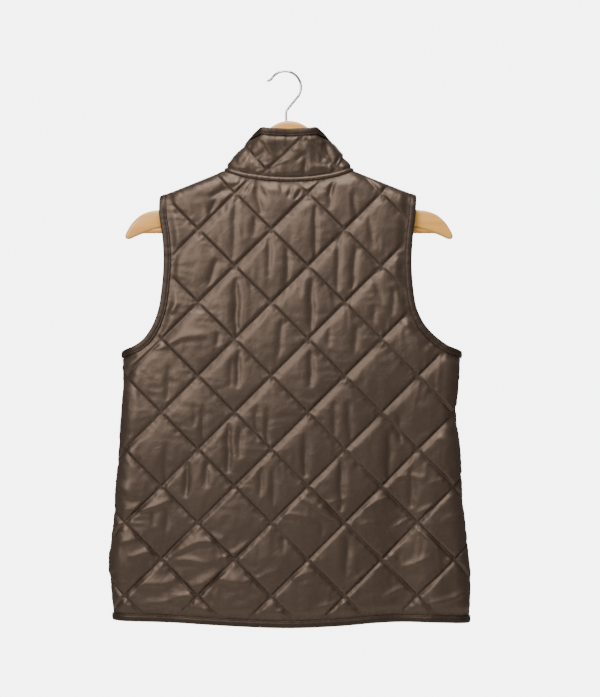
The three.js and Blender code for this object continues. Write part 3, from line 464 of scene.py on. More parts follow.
# A flat sheet whose squares follow the stitch lines, trimmed to the outline
def flat_sheet(outline, crossing, cells):
    turned = np.array([[1, 1], [-1, 1]]) / math.sqrt(2)
    spans = (outline - crossing) @ turned.T
    low = np.floor(spans.min(0) / DIAMOND_SIDE).astype(int)
    high = np.ceil(spans.max(0) / DIAMOND_SIDE).astype(int)
    count = (high - low) * cells
    bm = bmesh.new()
    bmesh.ops.create_grid(bm, x_segments=int(count[0]), y_segments=int(count[1]), size=0.5)
    share = np.array([vert.co[:2] for vert in bm.verts]) + 0.5
    diamonds = np.round(share * count) / cells
    crowded = diamonds - CROWDED * np.sin(2 * math.pi * diamonds) / (2 * math.pi)
    places = (crowded + low) * DIAMOND_SIDE @ turned + crossing
    for vert, (u, v) in zip(bm.verts, places):
        vert.co = (u, v, 0)
    middles = np.array([face.calc_center_median()[:2] for face in bm.faces])
    kept = inside(outline, middles)
    off = [face for face, keep in zip(bm.faces, kept) if not keep]
    bmesh.ops.delete(bm, geom=off, context="FACES")
    rim = [vert for vert in bm.verts if vert.is_boundary]
    loop = np.vstack([outline, outline[:1]])
    spots = nearest(loop, np.array([vert.co[:2] for vert in rim]))[1]
    for vert, (u, v) in zip(rim, spots):
        vert.co = (u, v, 0)
    beside_rim = {edge for vert in rim for edge in vert.link_edges}
    ring = {vert for edge in beside_rim for vert in edge.verts if not vert.is_boundary}
    bmesh.ops.smooth_vert(bm, verts=list(ring), factor=0.5, use_axis_x=True, use_axis_y=True)
    return bm


# Smooth unevenness between -1 and 1, with lumps of about the given size
def uneven(places, size, seed):
    at = np.asarray(places) / size
    corner = np.floor(at).astype(int)
    t = at - corner
    t = t * t * (3 - 2 * t)
    values = np.random.RandomState(seed).uniform(-1, 1, (256, 256))

    def corner_value(i, j):
        return values[(corner[:, 0] + i) % 256, (corner[:, 1] + j) % 256]

    low = corner_value(0, 0) * (1 - t[:, 0]) + corner_value(1, 0) * t[:, 0]
    high = corner_value(0, 1) * (1 - t[:, 0]) + corner_value(1, 1) * t[:, 0]
    return low * (1 - t[:, 1]) + high * t[:, 1]


# Soft creases: a place on the flat cut, length, width and depth of each.
# lean is the angle from upright in degrees, and a ridge has a negative deep.
BACK_CREASES = table(
    "u w long wide deep lean",
    # slanting folds close under the collar
    (-37, -166, 34, 2.8, 1.5, -28), (2, -166, 16, 2.4, 1.3, 22), (13, -169, 18, 2.6, 1.3, 34),
    (58, -161, 24, 2.6, 1.3, 18), (-96, -166, 30, 3.4, 1.4, 56), (-78, -160, 30, 2.6, 1.2, 60),
    (-55, -160, 20, 2.2, 0.9, 30), (-10, -160, 14, 2.2, 0.8, -30), (-104, -186, 26, 3.6, 1.2, 20),
    (90, -186, 40, 3.4, 1.1, -16),
    # upright troughs under the neck
    (-42, -174, 48, 5, 1.5, -12), (-75, -218, 84, 4, 1.0, 3), (57, -172, 36, 4.5, 1.2, 6),
    (36, -223, 80, 3.2, 1.5, 0), (-47, -213, 30, 4, 0.8, 0), (113, -221, 46, 4, 0.9, -12),
    # the second and third rows
    (-27, -257, 54, 4, 1.2, 0), (-2, -271, 54, 4, 1.3, 0), (67, -264, 78, 4, 1.4, 2),
    (89, -271, 64, 4.5, 1.5, 4), (-104, -276, 40, 4.5, 1.2, 14), (-72, -325, 84, 5, 2.0, 0),
    (31, -321, 74, 5, 1.9, 0), (15, -297, 22, 3.6, 0.9, -8), (122, -301, 40, 4.5, 1.1, -22),
    (116, -332, 26, 4, 0.9, 0), (142, -317, 40, 5, 0.9, 4),
    # across the middle of the back
    (-12, -366, 52, 4.5, 1.1, 6), (91, -366, 36, 5, 1.2, 0), (54, -365, 26, 4, 0.8, 0),
    (-69, -408, 52, 5, 1.7, 2), (-79, -414, 40, 4, 0.9, 0), (30, -408, 50, 4.5, 1.6, 0),
    (-164, -428, 46, 5, 1.1, 4), (-97, -367, 20, 3.6, 1.0, 0), (-117, -482, 52, 4, 1.1, 0),
    (-128, -470, 34, 4, 0.8, 0), (-44, -482, 50, 4, 1.0, 0), (-29, -485, 52, 4, 1.1, 2),
    (62, -478, 52, 4.5, 1.1, 0), (82, -480, 60, 4.5, 1.3, -3), (151, -488, 42, 4.5, 1.0, 0),
    # the lower half
    (-82, -515, 68, 5, 1.9, 0), (-67, -508, 44, 4.5, 1.2, 0), (-168, -538, 64, 5, 1.1, 3),
    (22, -526, 60, 4.5, 1.7, 0), (136, -524, 66, 6, 1.8, 2), (-139, -558, 50, 5, 1.9, 3),
    (-112, -551, 38, 4.5, 1.3, 2), (-38, -561, 40, 5, 1.3, 4), (-21, -568, 50, 4, 1.0, 0),
    (71, -565, 74, 5, 1.9, 0), (168, -569, 56, 5.5, 1.5, 0), (79, -661, 58, 5, 1.5, 4),
    (-166, -612, 34, 4, 1.0, 4), (-185, -610, 26, 4, 0.9, 0), (45, -624, 22, 3.6, 0.8, 0),
    (-8, -640, 40, 5, 0.8, 0),
    # slanting and level ridges at the sides and the hem
    (-190, -596, 76, 5, -1.6, 78), (-124, -648, 76, 6, -1.7, 74), (-201, -661, 40, 4, -1.3, 82),
    (-92, -698, 96, 8, -2.0, 84), (-178, -700, 76, 7, -1.6, 80), (41, -599, 62, 3, -1.3, 118),
    (8, -609, 42, 3.4, -1.2, 96), (145, -713, 40, 4.5, -1.6, 72), (218, -722, 58, 5, -1.8, 70),
    (215, -508, 34, 3.4, -1.2, 112), (166, -556, 50, 3.2, -1.1, 88), (191, -640, 38, 3.6, -1.3, 128),
    (222, -613, 32, 3.6, -1.2, 72), (19, -689, 40, 4, -1.2, 80), (108, -621, 24, 3.6, -1.0, 90),
    (-216, -520, 34, 5, -1.2, 122), (-224, -575, 34, 5, -1.3, 118), (205, -560, 34, 3.4, -1.0, 68),
    (-150, -370, 80, 6, -1.4, 76), (-165, -330, 40, 6, -1.2, 50), (176, -352, 52, 5, -1.2, 112),
    (-150, -722, 90, 5, -1.3, 84), (-130, -672, 50, 4, -1.0, 96), (-215, -640, 40, 4, -1.2, 72),
    (-70, -655, 60, 4, -1.2, 64), (-30, -690, 40, 4, -1.0, 70), (-190, -735, 60, 4, -1.1, 80),
    (120, -590, 46, 3.4, -1.2, 70), (150, -620, 40, 3, -1.2, 62), (60, -590, 40, 3.4, -1.1, 66),
    (190, -600, 40, 3.4, -1.2, 64), (175, -672, 44, 3.6, -1.3, 74), (100, -690, 50, 4, -1.2, 66),
    (225, -665, 30, 4, -1.2, 70), (60, -730, 50, 4, -1.1, 76), (130, -660, 36, 3, -1.0, 110),
)
FRONT_CREASES = table(
    "u w long wide deep lean",
    (-60, -300, 60, 4.5, 1.3, 2), (-38, -345, 52, 4, 1.1, 0), (-110, -340, 70, 5, 1.7, 4),
    (-150, -300, 44, 4.5, 1.1, -6), (-95, -420, 64, 5, 1.6, 0), (-48, -445, 56, 4.5, 1.2, 2),
    (-160, -440, 60, 5, 1.3, 0), (-30, -520, 60, 4, 1.3, 0), (-118, -520, 70, 5, 1.8, 3),
    (-190, -520, 50, 5, 1.2, 0), (-70, -600, 60, 4.5, 1.4, 0), (-150, -610, 66, 5, 1.6, -3),
    (-100, -690, 80, 7, -1.8, 82), (-190, -670, 60, 6, -1.5, 76), (-40, -700, 50, 5, -1.3, 94),
    (-205, -590, 44, 4, -1.2, 112), (-170, -250, 44, 4, 1.0, 8), (-205, -450, 34, 4, -1.1, 66),
    (52, -310, 56, 4.5, 1.3, 0), (96, -335, 66, 5, 1.7, -3), (140, -300, 44, 4.5, 1.1, 5),
    (30, -385, 50, 4, 1.1, 0), (72, -425, 66, 5, 1.7, 2), (122, -440, 52, 4.5, 1.2, 0),
    (178, -430, 46, 4.5, 1.1, 0), (45, -500, 60, 4.5, 1.4, 0), (150, -520, 70, 5, 1.8, -2),
    (100, -545, 48, 4, 1.1, 0), (198, -540, 44, 5, 1.2, 0), (60, -610, 62, 5, 1.5, 3),
    (130, -640, 56, 5, 1.4, 0), (90, -700, 84, 7, -1.8, 96), (190, -690, 60, 6, -1.6, 104),
    (205, -610, 40, 4, -1.2, 70), (35, -715, 44, 5, -1.3, 86), (168, -250, 40, 4, 1.0, -8),
    (205, -470, 36, 4, -1.1, 112),
)
COLLAR_CREASES = table(
    "u w long wide deep lean",
    # one deep upright fold, a dark three-cornered dent and short slanting folds
    (22, 20, 32, 2.6, 1.7, 4), (17, 33, 20, 2.4, 1.2, 52), (-14, 44, 22, 3.4, 1.5, -30),
    (-19, 40, 26, 2.0, 1.3, -38), (-33, 42, 30, 2.4, 1.4, -30), (-45, 30, 30, 4.0, 1.3, 62),
    (-20, 22, 46, 2.2, -1.0, 78), (3, 42, 20, 1.8, -1.0, 86), (-34, 16, 30, 2.0, -0.8, 80),
    (40, 14, 30, 2.2, -0.9, 96), (58, 36, 40, 3.4, 1.0, -14), (46, 50, 26, 2.4, -0.9, 72),
    (-62, 34, 40, 3.0, 1.0, 24), (70, 20, 26, 2.4, 1.0, 30), (-76, 18, 26, 2.4, 0.9, -24),
    (-110, 36, 36, 3.4, 1.2, 20), (104, 38, 34, 3.4, 1.2, -24), (-136, 24, 34, 2.6, -0.9, 70),
    (136, 44, 34, 2.6, -0.9, 108), (-164, 34, 30, 3.4, 1.0, 10), (160, 30, 30, 3.4, 1.0, -12),
)


def crease_depth(places, rows):
    depth = np.zeros(len(places))
    for u, w, long, wide, deep, lean in zip(*rows.values()):
        turn = math.radians(lean)
        offset = places - (u, w)
        along = offset @ (math.sin(turn), math.cos(turn))
        across = offset @ (math.cos(turn), -math.sin(turn))
        # A crease wanders and is narrower at its ends; a ridge drops off sharply below
        taller, sway, slowness, roundness = RIDGE if deep < 0 else TROUGH
        across = across + wide * (sway * np.sin(along / slowness + u))
        taper = np.sqrt(np.clip(1 - (2 * along / long) ** 2, 0, 1))
        reach = wide * (CREASE_END + (1 - CREASE_END) * taper)
        if deep < 0:
            reach = reach * np.where(across > 0, *RIDGE_SIDES)
        depth += deep * taller * taper * np.exp(-(np.abs(across / reach) ** roundness))
    return depth


# A straight slope beside a stitch line, then flat
def slope_up(distance, is_upper, w):
    upper = HEM_SLOPE + (UPPER_SLOPE - HEM_SLOPE) * ease((w - HEM_SLOPE_Z) / HEM_SLOPE_OVER)
    t = distance / np.where(is_upper, upper, LOWER_SLOPE)
    return 0.5 * (t + 1 - np.sqrt((t - 1) ** 2 + SLOPE_BEND))


# Height of the padding over the wall: straight slopes beside the stitch lines, softly domed inside them
def padding(places, crossing):
    x, z = (places - crossing).T
    a, b = (x + z) / (2 * DIAMOND_HALF), (x - z) / (2 * DIAMOND_HALF)
    rising, falling = np.abs(np.sin(math.pi * a)), np.abs(np.sin(math.pi * b))
    # Distances to the two nearest stitch lines, as the crow flies
    to_rising = np.abs(a - np.round(a)) * DIAMOND_SIDE
    to_falling = np.abs(b - np.round(b)) * DIAMOND_SIDE
    part_a, part_b = a - np.floor(a), b - np.floor(b)
    w = places[:, 1]
    top = slope_up(to_rising, part_a > 0.5, w) * slope_up(to_falling, part_b < 0.5, w)
    share = (1 - QUILT_DOME) * top + QUILT_DOME * rising * falling
    # Half a diamond's height up or down from its middle
    up = part_a - part_b
    share *= 1 - SAG * up
    near = np.minimum(to_rising, to_falling)
    return share, near, np.where(to_rising < to_falling, x - z, x + z) / math.sqrt(2)


# Sharp-ridged crinkles of one way, between -1 and 1
def crinkled(places, drawn_out, sway, sway_size, size, sway_seed, seed):
    swayed = places * drawn_out + sway * uneven(places, sway_size, sway_seed)[:, None]
    return 1 - 2 * np.abs(uneven(swayed, size, seed))


# How the shell cloth is raised over its wall, in all
def relief(places, crossing, edges, creases, seed):
    share, near, along = padding(places, crossing)
    edge_share = np.ones(len(places))
    gather = np.zeros(len(places))
    to_edge = np.full(len(places), np.inf)
    puff, rise_over = (COLLAR_PUFF, COLLAR_RISE_OVER) if crossing is COLLAR_CROSSING else (PUFF, RISE_OVER)
    for line, margin in edges:
        distance, spot = nearest(line, places)
        edge_share *= ease((distance - margin) / rise_over)
        # Gathers stand square to the edge that draws them in
        beyond = distance - margin
        fading = np.exp(-np.maximum(0, beyond) / GATHER_LONG) * ease((beyond + 2) / 5)
        gather += uneven(spot, PUCKER_WIDE, seed + 5) * fading
        to_edge = np.minimum(to_edge, distance)
    height = puff * (1 + PUFF_UNEVEN * uneven(places, PUFF_LUMP, seed)) * share * edge_share
    free = np.minimum(1, near / CREASE_CLEAR) * np.minimum(1, edge_share * 1.6)
    height -= crease_depth(places, creases) * free
    # Small puckers stand across the stitch lines and fade away from them
    beside = np.exp(-near / PUCKER_LONG) * np.minimum(1, near)
    pucker = uneven(np.stack([along, np.round(near / 40)], axis=1), PUCKER_WIDE, seed + 1)
    height += PUCKER * beside * pucker * edge_share + GATHER * gather
    # Crinkles with sharp ridges, more of them towards the edges
    more = CRINKLE_INSIDE + (1 - CRINKLE_INSIDE) * np.exp(-to_edge / CRINKLE_EDGE)
    upright = crinkled(places, *CRINKLE_UPRIGHT, seed + 2, seed + 3)
    level = crinkled(places, *CRINKLE_LEVEL, seed + 6, seed + 4)
    patches = ease(0.5 + 1.2 * uneven(places, CRINKLE_PATCH, seed + 7))
    crinkles = CRINKLE * (upright * patches + level * (1 - patches))
    height += crinkles * more * np.minimum(1, near / 4) * edge_share
    return np.maximum(height, LOWEST)


def quilted_piece(name, outline, cloth, crossing, edges, creases, flip, seed):
    outer = flat_sheet(outline, crossing, OUTER_CELLS)
    inner = flat_sheet(outline, crossing, INNER_CELLS)
    bmesh.ops.reverse_faces(outer if flip else inner, faces=(outer if flip else inner).faces)
    cuts = []
    for sheet, is_outer in ((outer, True), (inner, False)):
        places = np.array([vert.co[:2] for vert in sheet.verts])
        rise = relief(places, crossing, edges, creases, seed) + WALL if is_outer else np.zeros(len(places))
        for vert, point in zip(sheet.verts, cloth.place(*places.T, rise)):
            vert.co = point * MM
        cuts.append(places)
    joined = mesh_of(name, inner)
    outer.from_mesh(joined)
    bpy.data.meshes.remove(joined)
    rim = [edge for edge in outer.edges if edge.is_boundary]
    bmesh.ops.bridge_loops(outer, edges=rim)
    bmesh.ops.recalc_face_normals(outer, faces=outer.faces)
    mesh = mesh_of(name, outer)
    uv = mesh.uv_layers.new(name="cut")
    corners = np.empty(len(mesh.loops), int)
    mesh.loops.foreach_get("vertex_index", corners)
    uv.data.foreach_set("uv", (np.vstack(cuts)[corners] * MM).astype(np.float32).ravel())
    shade_smooth(mesh)
    return new_object(name, mesh)


# The edges of a panel with the widths of their flat strips
def edge_margins(lines):
    return [
        (lines["side"], SEWN_MARGIN), (lines["shoulder"], SEWN_MARGIN), (lines["neck"], NECK_MARGIN),
        (lines["hem"], BOUND_MARGIN), (lines["armhole"], BOUND_MARGIN),
    ]


# The cut of each quilted piece: its outline, surface, stitch lines, edges and creases
def back_cut():
    left, right = cut_lines(-1, -1), cut_lines(1, -1)
    outline = np.vstack([half_outline(right, 0), half_outline(left, 0)[::-1]])
    edges = [pair for lines in (left, right) for pair in edge_margins(lines)]
    return outline, back_cloth, BACK_CROSSING, edges, BACK_CREASES


def front_cut(sign):
    lines = cut_lines(sign, 1)
    zip_edge = np.array([(sign * ZIP_GAP, -800.0), (sign * ZIP_GAP, -200.0)])
    edges = [*edge_margins(lines), (zip_edge, SEWN_MARGIN)]
    return half_outline(lines, ZIP_GAP), front_cloth, FRONT_CROSSING, edges, FRONT_CREASES


COLLAR_EDGE = COLLAR_HEIGHT - EDGE_INSET


def collar_cut():
    corners = np.array(
        [(-NECK_LENGTH, 0), (NECK_LENGTH, 0), (NECK_LENGTH, COLLAR_EDGE), (-NECK_LENGTH, COLLAR_EDGE)]
    )
    edges = [
        (corners[[0, 1]], NECK_MARGIN), (corners[[3, 2]], BOUND_MARGIN),
        (corners[[1, 2]], SEWN_MARGIN), (corners[[3, 0]], SEWN_MARGIN),
    ]
    outline = np.vstack([np.linspace(a, b, 60)[:-1] for a, b in zip(corners, np.roll(corners, -1, axis=0))])
    return outline, collar_cloth, COLLAR_CROSSING, edges, COLLAR_CREASES


# Lofts: rows of points, each row joined to the next

# points has a row for each station and a column for each point of the section
def loft(name, points, closed=False):
    stations, section = points.shape[:2]
    spans = stations if closed else stations - 1
    bm = bmesh.new()
    bmesh.ops.create_grid(bm, x_segments=spans, y_segments=section, size=0.5)
    for vert in bm.verts:
        i, j = round((vert.co.x + 0.5) * spans), round((vert.co.y + 0.5) * section)
        vert.co = points[i % stations, j % section] * MM
    bmesh.ops.remove_doubles(bm, verts=bm.verts, dist=1e-7)
    if not closed:
        bmesh.ops.holes_fill(bm, edges=[edge for edge in bm.edges if edge.is_boundary], sides=0)
    bmesh.ops.recalc_face_normals(bm, faces=bm.faces)
    return smooth_piece(name, bm)


# A line with its points an even step apart
def evenly(line, step):
    along = distances(line)
    at = np.linspace(0, along[-1], max(2, round(along[-1] / step)) + 1)
    return np.stack([np.interp(at, along, column) for column in line.T], axis=1)


# Bindings: folded strips that wrap the edges
BINDING_WIDE = 8.0
BINDING_EASE = 1.0  # room between a binding and the edge that it wraps
BINDING_LEG = 0.8
BINDING_TOP = WALL + 1.4 + BINDING_LEG
BINDING_UNDER = -BINDING_EASE - BINDING_LEG
BINDING_STEP = 1.7
LUMP, RING_RADIUS, RING_LONG = 3.6, 40.0, 250.0
SLOW_LUMP, SLOW_LIFT = 17.0, 0.2
BULGE_AT, BULGE_WIDE, BULGE_HIGH = -3.6, 2.2, 0.35  # the round middle of a binding's leg
GROOVE_WIDE, GROOVE_DEEP = 0.7, 0.45  # where its stitches press it down
PRESSED_FLAT, PRESSED_TO = 1.2, 9.0  # how far a binding is pressed down on a shoulder, and how far from it
SEAM_IN_BINDING = -6.4  # the row of stitches, from the cloth's edge


# Stations along a line of the flat cut: the edge, the lip inside it and the way out.
# side is positive where the way out of the cloth lies on the line's left.
def edge_stations(line, cloth, side, step=BINDING_STEP):
    line = evenly(line, step)
    run = runs(line)
    flat_out = np.stack([-run[:, 1], run[:, 0]], axis=1) * side
    lip = line - flat_out * BINDING_WIDE
    if cloth is not collar_cloth:
        over = line[:, 1] > ridge_top(line[:, 0]) - SEAM
        lip[over, 1] = ridge_top(lip[over, 0])
    across, up, normal = cloth.ways(*line.T)
    out = across * flat_out[:, :1] + up * flat_out[:, 1:]
    out = unit(out - normal * (out * normal).sum(1, keepdims=True))
    return {
        "edge": cloth.point(*line.T), "edge_normal": normal, "out": out,
        "lip": cloth.point(*lip.T), "lip_normal": cloth.ways(*lip.T)[2],
    }


def joined_stations(parts):
    return {key: np.vstack([part[key] for part in parts]) for key in parts[0]}


def some_stations(stations, order):
    return {key: values[order] for key, values in stations.items()}


# A point of a binding at every station: out from the cloth's edge, and high over its inner face
def binding_points(stations, out, high):
    share = np.clip(1 + out / BINDING_WIDE, 0, 1)
    lip = stations["lip"] + stations["lip_normal"] * high[:, None]
    edge = stations["edge"] + stations["edge_normal"] * high[:, None]
    return lip + (edge - lip) * share + stations["out"] * max(0.0, out)


# The section of a binding, from the outer lip round the edge to the inner lip, and back inside it
def binding_section():
    middle = (BINDING_TOP + BINDING_UNDER) / 2
    half = (BINDING_TOP - BINDING_UNDER) / 2
    top = [(out, BINDING_TOP) for out in (-8, -7.2, SEAM_IN_BINDING, -5.6, -4.4, -3, -1.5)]
    turns = [QUARTER - math.pi * i / 6 for i in range(7)]
    edge = [(EDGE_INSET * math.cos(turn), middle + half * math.sin(turn)) for turn in turns]
    under = [(out, BINDING_UNDER) for out in (-1.5, -3, -4.4, -5.6, SEAM_IN_BINDING, -7.2, -8)]
    inner_top = BINDING_TOP - BINDING_LEG
    inside_of = [
        (-8, -BINDING_EASE), (0.6, -BINDING_EASE), (BINDING_EASE, middle), (0.6, inner_top), (-8, inner_top),
    ]
    return top + edge + under, inside_of


def binding(name, stations, closed, pucker, seed):
    count = len(stations["edge"])
    place = np.stack([np.arange(count) * BINDING_STEP, np.zeros(count)], axis=1)
    lump = LUMP
    if closed:
        # Unevenness read round a ring, so that it meets itself where the strip is sewn closed
        turns = 2 * math.pi * np.arange(count) / count
        place = RING_RADIUS * np.stack([np.sin(turns), np.cos(turns)], axis=1)
        lump = LUMP * RING_LONG / (count * BINDING_STEP)
    lumps = uneven(place, lump, seed)
    slow = uneven(place, SLOW_LUMP, seed + 1)
    # Over the shoulder an armhole's binding lies flat on the cloth
    below_top = stations["edge"][:, 2].max() - stations["edge"][:, 2]
    pressed = PRESSED_FLAT / BINDING_TOP * np.exp(-((below_top / PRESSED_TO) ** 2)) * closed
    outer, inner = binding_section()
    rows = []
    for out, high in outer:
        on_leg = 1 if out <= -1.5 else 0.25
        bulge = BULGE_HIGH * math.exp(-(((out - BULGE_AT) / BULGE_WIDE) ** 2))
        groove = GROOVE_DEEP * math.exp(-(((out - SEAM_IN_BINDING) / GROOVE_WIDE) ** 2))
        outward = 1 if high > 1 else -1
        lift = on_leg * pucker * lumps * (0.35 + 0.65 * abs(out + 4) / 4) + bulge - groove
        lift = lift + SLOW_LIFT * slow * on_leg
        rows.append(binding_points(stations, out, high + outward * lift - pressed * max(0, high)))
    for out, high in inner:
        rows.append(binding_points(stations, out, high - pressed * max(0, high)))
    return loft(name, np.stack(rows, axis=1), closed)


def armhole_stations(sign):
    parts = []
    for face, cloth in ((-1, back_cloth), (1, front_cloth)):
        lines = cut_lines(sign, face)
        line = lines["armhole"].copy()
        line[0, 0] = lines["side"][-1][0] + sign * SEAM / 2
        line[-1, 1] = ridge_top(line[-1, 0])
        parts.append(edge_stations(line, cloth, -sign))
    back_part, front_part = parts
    inner = np.arange(len(front_part["edge"]) - 2, 0, -1)
    return joined_stations([back_part, some_stations(front_part, inner)])


def hem_stations():
    # From the zip round the right side to the middle of the back, and on round the left side to the zip
    parts = []
    for sign, face, order in (
        (1, 1, slice(0, -1)), (1, -1, slice(None, 0, -1)),
        (-1, -1, slice(0, -1)), (-1, 1, slice(None, None, -1)),
    ):
        cloth = back_cloth if face < 0 else front_cloth
        parts.append(some_stations(edge_stations(cut_lines(sign, face)["hem"], cloth, -sign), order))
    return joined_stations(parts)


def collar_top_stations():
    line = np.stack([np.linspace(-NECK_LENGTH, NECK_LENGTH, 200), np.full(200, COLLAR_EDGE)], axis=1)
    return edge_stations(line, collar_cloth, 1)


# Piping outside the seam between collar and vest
PIPING_RADIUS = 3.3
PIPING_SUNK = 2.1
PIPING_STEP, PIPING_UNEVEN = 1.4, 0.09


def neck_seam(high, sunk=0.0):
    fold = np.cos(neckline["fold"])[:, None]
    half = neckline["middle"] + neckline["away"] * neckline["gap"][:, None] / 2
    over_shoulder = np.exp(-((neckline["y"] / 16) ** 2))[:, None]
    half = half + neckline["out"] * ((high - WALL / 2) / fold - sunk * over_shoulder)
    mirrored = half[1:] * (-1, 1, 1) + (2 * MIDDLE, 0, 0)
    return np.vstack([mirrored[::-1], half])


# A round tube along a line; radii has one radius, or one for each point of the line
def tube(name, line, radii, sides, closed=False):
    run = runs(line)
    across = unit(np.cross((0, 0, 1), run))
    flat = np.linalg.norm(np.cross((0, 0, 1), run), axis=1) < 0.05
    across[flat] = (0, 1, 0)
    for i in range(1, len(line)):
        turned = across[i - 1] - run[i] * (across[i - 1] @ run[i])
        across[i] = turned / np.linalg.norm(turned)
    up = np.cross(run, across)
    turns = 2 * math.pi * np.arange(sides) / sides
    radii = np.broadcast_to(radii, len(line))[:, None, None]
    ring = across[:, None] * np.cos(turns)[None, :, None] + up[:, None] * np.sin(turns)[None, :, None]
    return loft(name, line[:, None] + ring * radii, closed)


def neck_piping():
    line = evenly(smooth_line(neck_seam(WALL + PIPING_RADIUS - PIPING_SUNK, 1.8), 900), PIPING_STEP)
    places = np.stack([np.arange(len(line)) * PIPING_STEP, np.zeros(len(line))], axis=1)
    lumps = uneven(places, 3.4, 41)
    return tube("neck_piping_cord", line, PIPING_RADIUS * (1 + PIPING_UNEVEN * lumps), 12)


# Stitches: short threads, each a small capsule of few faces
STITCH_LONG, STITCH_GAP, STITCH_THICK = 2.5, 0.9, 0.42
STITCH_STAGGER = 0.37  # from one line of the quilting to the next


def stitch_shape():
    bm = bmesh.new()
    bmesh.ops.create_uvsphere(bm, u_segments=6, v_segments=4, radius=1)
    bmesh.ops.rotate(bm, cent=(0, 0, 0), matrix=Matrix.Rotation(QUARTER, 3, "Y"), verts=bm.verts)
    scale = (STITCH_LONG / 2 * MM, STITCH_THICK / 2 * MM, STITCH_THICK / 2 * MM)
    bmesh.ops.scale(bm, vec=scale, verts=bm.verts)
    return mesh_of("stitch", bm)


# Copies of a small shape, each at a point and turned to a way and a normal, joined in one piece
def repeated(name, shape, points, ways, normals):
    bm = bmesh.new()
    for point, way, normal in zip(points, unit(ways), unit(normals)):
        side = np.cross(normal, way)
        side = side / np.linalg.norm(side)
        upright = np.cross(way, side)
        turn = Matrix(np.array([way, side, upright]).T.tolist()).to_4x4()
        matrix = Matrix.Translation(Vector(point * MM)) @ turn
        shape.transform(matrix)
        bm.from_mesh(shape)
        shape.transform(matrix.inverted())
    return smooth_piece(name, bm)


# The quilting's stitches on one piece
def quilt_stitches(name, outline, cloth, crossing, edges, creases):
    step = STITCH_LONG + STITCH_GAP
    middle = np.array(crossing)
    span = np.abs(outline - middle).max() * 1.5
    lines = math.ceil(span / DIAMOND_SIDE)
    places, flat_ways = [], []
    for way in np.array([(1, 1), (1, -1)]) / math.sqrt(2):
        across = np.array([-way[1], way[0]])
        for number in range(-lines, lines + 1):
            along = np.arange(-span, span, step) + STITCH_STAGGER * number
            places.append(middle + across * number * DIAMOND_SIDE + along[:, None] * way)
            flat_ways.append(np.tile(way, (len(along), 1)))
    places, flat_ways = np.vstack(places), np.vstack(flat_ways)
    kept = inside(outline, places)
    places, flat_ways = places[kept], flat_ways[kept]
    clear = np.ones(len(places), bool)
    for line, margin in edges:
        clear &= nearest(line, places)[0] > margin
    places, flat_ways = places[clear], flat_ways[clear]
    high = WALL + STITCH_THICK * 0.2
    points = cloth.place(*places.T, high)
    ahead = cloth.place(*(places + flat_ways).T, high)
    return repeated(name, stitch_shape(), points, ahead - points, cloth.ways(*places.T)[2])


# A row of stitches along a binding's outer leg
def binding_stitches(name, stations):
    points = binding_points(stations, SEAM_IN_BINDING, np.full(len(stations["edge"]), BINDING_TOP - 0.35))
    line = evenly(points, STITCH_LONG + STITCH_GAP)
    along = np.linspace(0, len(points) - 1, len(line))
    normals = stations["lip_normal"][np.round(along).astype(int)]
    return repeated(name, stitch_shape(), line[1:-1], runs(line)[1:-1], normals[1:-1])


# Zip: two rows of coil teeth that meet in the middle
CHAIN_UNDER, CHAIN_OVER = -1.4, 1.4
TOOTH_PITCH = 2.2
TOOTH_REACH, TOOTH_WIDE = 3.9, 1.25
TOOTH_PAST_MIDDLE = 0.7  # each tooth reaches this far over the middle, between two of the other row
ZIP_FOOT_UP = 0.4
ZIP_FRONT_TOP = NECK_Z - FRONT_NECK_DROP - 5  # above it the zip runs on along the collar


def zip_line():
    w = np.linspace(read(HEMS, "x", 0.0, "z") + ZIP_FOOT_UP, ZIP_FRONT_TOP, 90)
    v = np.linspace(4, COLLAR_HEIGHT - 4, 14)
    gap = np.full(len(w), ZIP_GAP)
    end = np.full(len(v), NECK_LENGTH)
    corner = neck_seam(0)[-1:]
    points = np.vstack([front_cloth.point(gap, w), corner, collar_cloth.point(end, v)])
    points[:, 0] = MIDDLE
    return evenly(points, TOOTH_PITCH / 2)


# A woven tape behind one row of teeth, with a thicker edge at the teeth
TAPE_FROM, TAPE_TO, TAPE_UNDER, TAPE_OVER = 3.6, 17.0, -2.0, -1.1
TAPE_STOP = 12.6  # above the foot of the teeth
TAPE_CORD, TAPE_CORD_AT, TAPE_CORD_WIDE = 0.25, 4.4, 0.6  # the raised edge at the teeth
TAPE_RIB, TAPE_RIB_LONG = 0.12, 1.1


def zip_tape(name, sign):
    foot = read(HEMS, "x", 0.0, "z") + ZIP_FOOT_UP + TAPE_STOP
    w = np.linspace(foot, ZIP_FRONT_TOP, 200)
    v = np.linspace(4, COLLAR_EDGE - BINDING_WIDE - 1, 24)
    across = np.array([TAPE_FROM, 4.1, 4.8, 5.4, 8.0, 11.0, 14.0, 16.4, TAPE_TO])
    over = TAPE_OVER + TAPE_CORD * np.exp(-(((across - TAPE_CORD_AT) / TAPE_CORD_WIDE) ** 2))
    section = [*zip(across, over), *[(u, TAPE_UNDER) for u in across[::-1]]]
    columns = []
    for u, n in section:
        seam = neck_seam(n)[-20:][::-1]
        corner = [sign * u] + [np.interp(u, seam[:, 0] - MIDDLE, seam[:, axis]) for axis in (1, 2)]
        front_part = front_cloth.place(np.full(len(w), sign * u), w, n + TAPE_RIB * np.sin(w / TAPE_RIB_LONG))
        collar_u = np.full(len(v), sign * (NECK_LENGTH - u + ZIP_GAP))
        collar_part = collar_cloth.place(collar_u, v, n + TAPE_RIB * np.sin(v / TAPE_RIB_LONG))
        columns.append(np.vstack([front_part, np.array(corner) + (MIDDLE, 0, 0), collar_part]))
    return loft(name, np.stack(columns, axis=1))


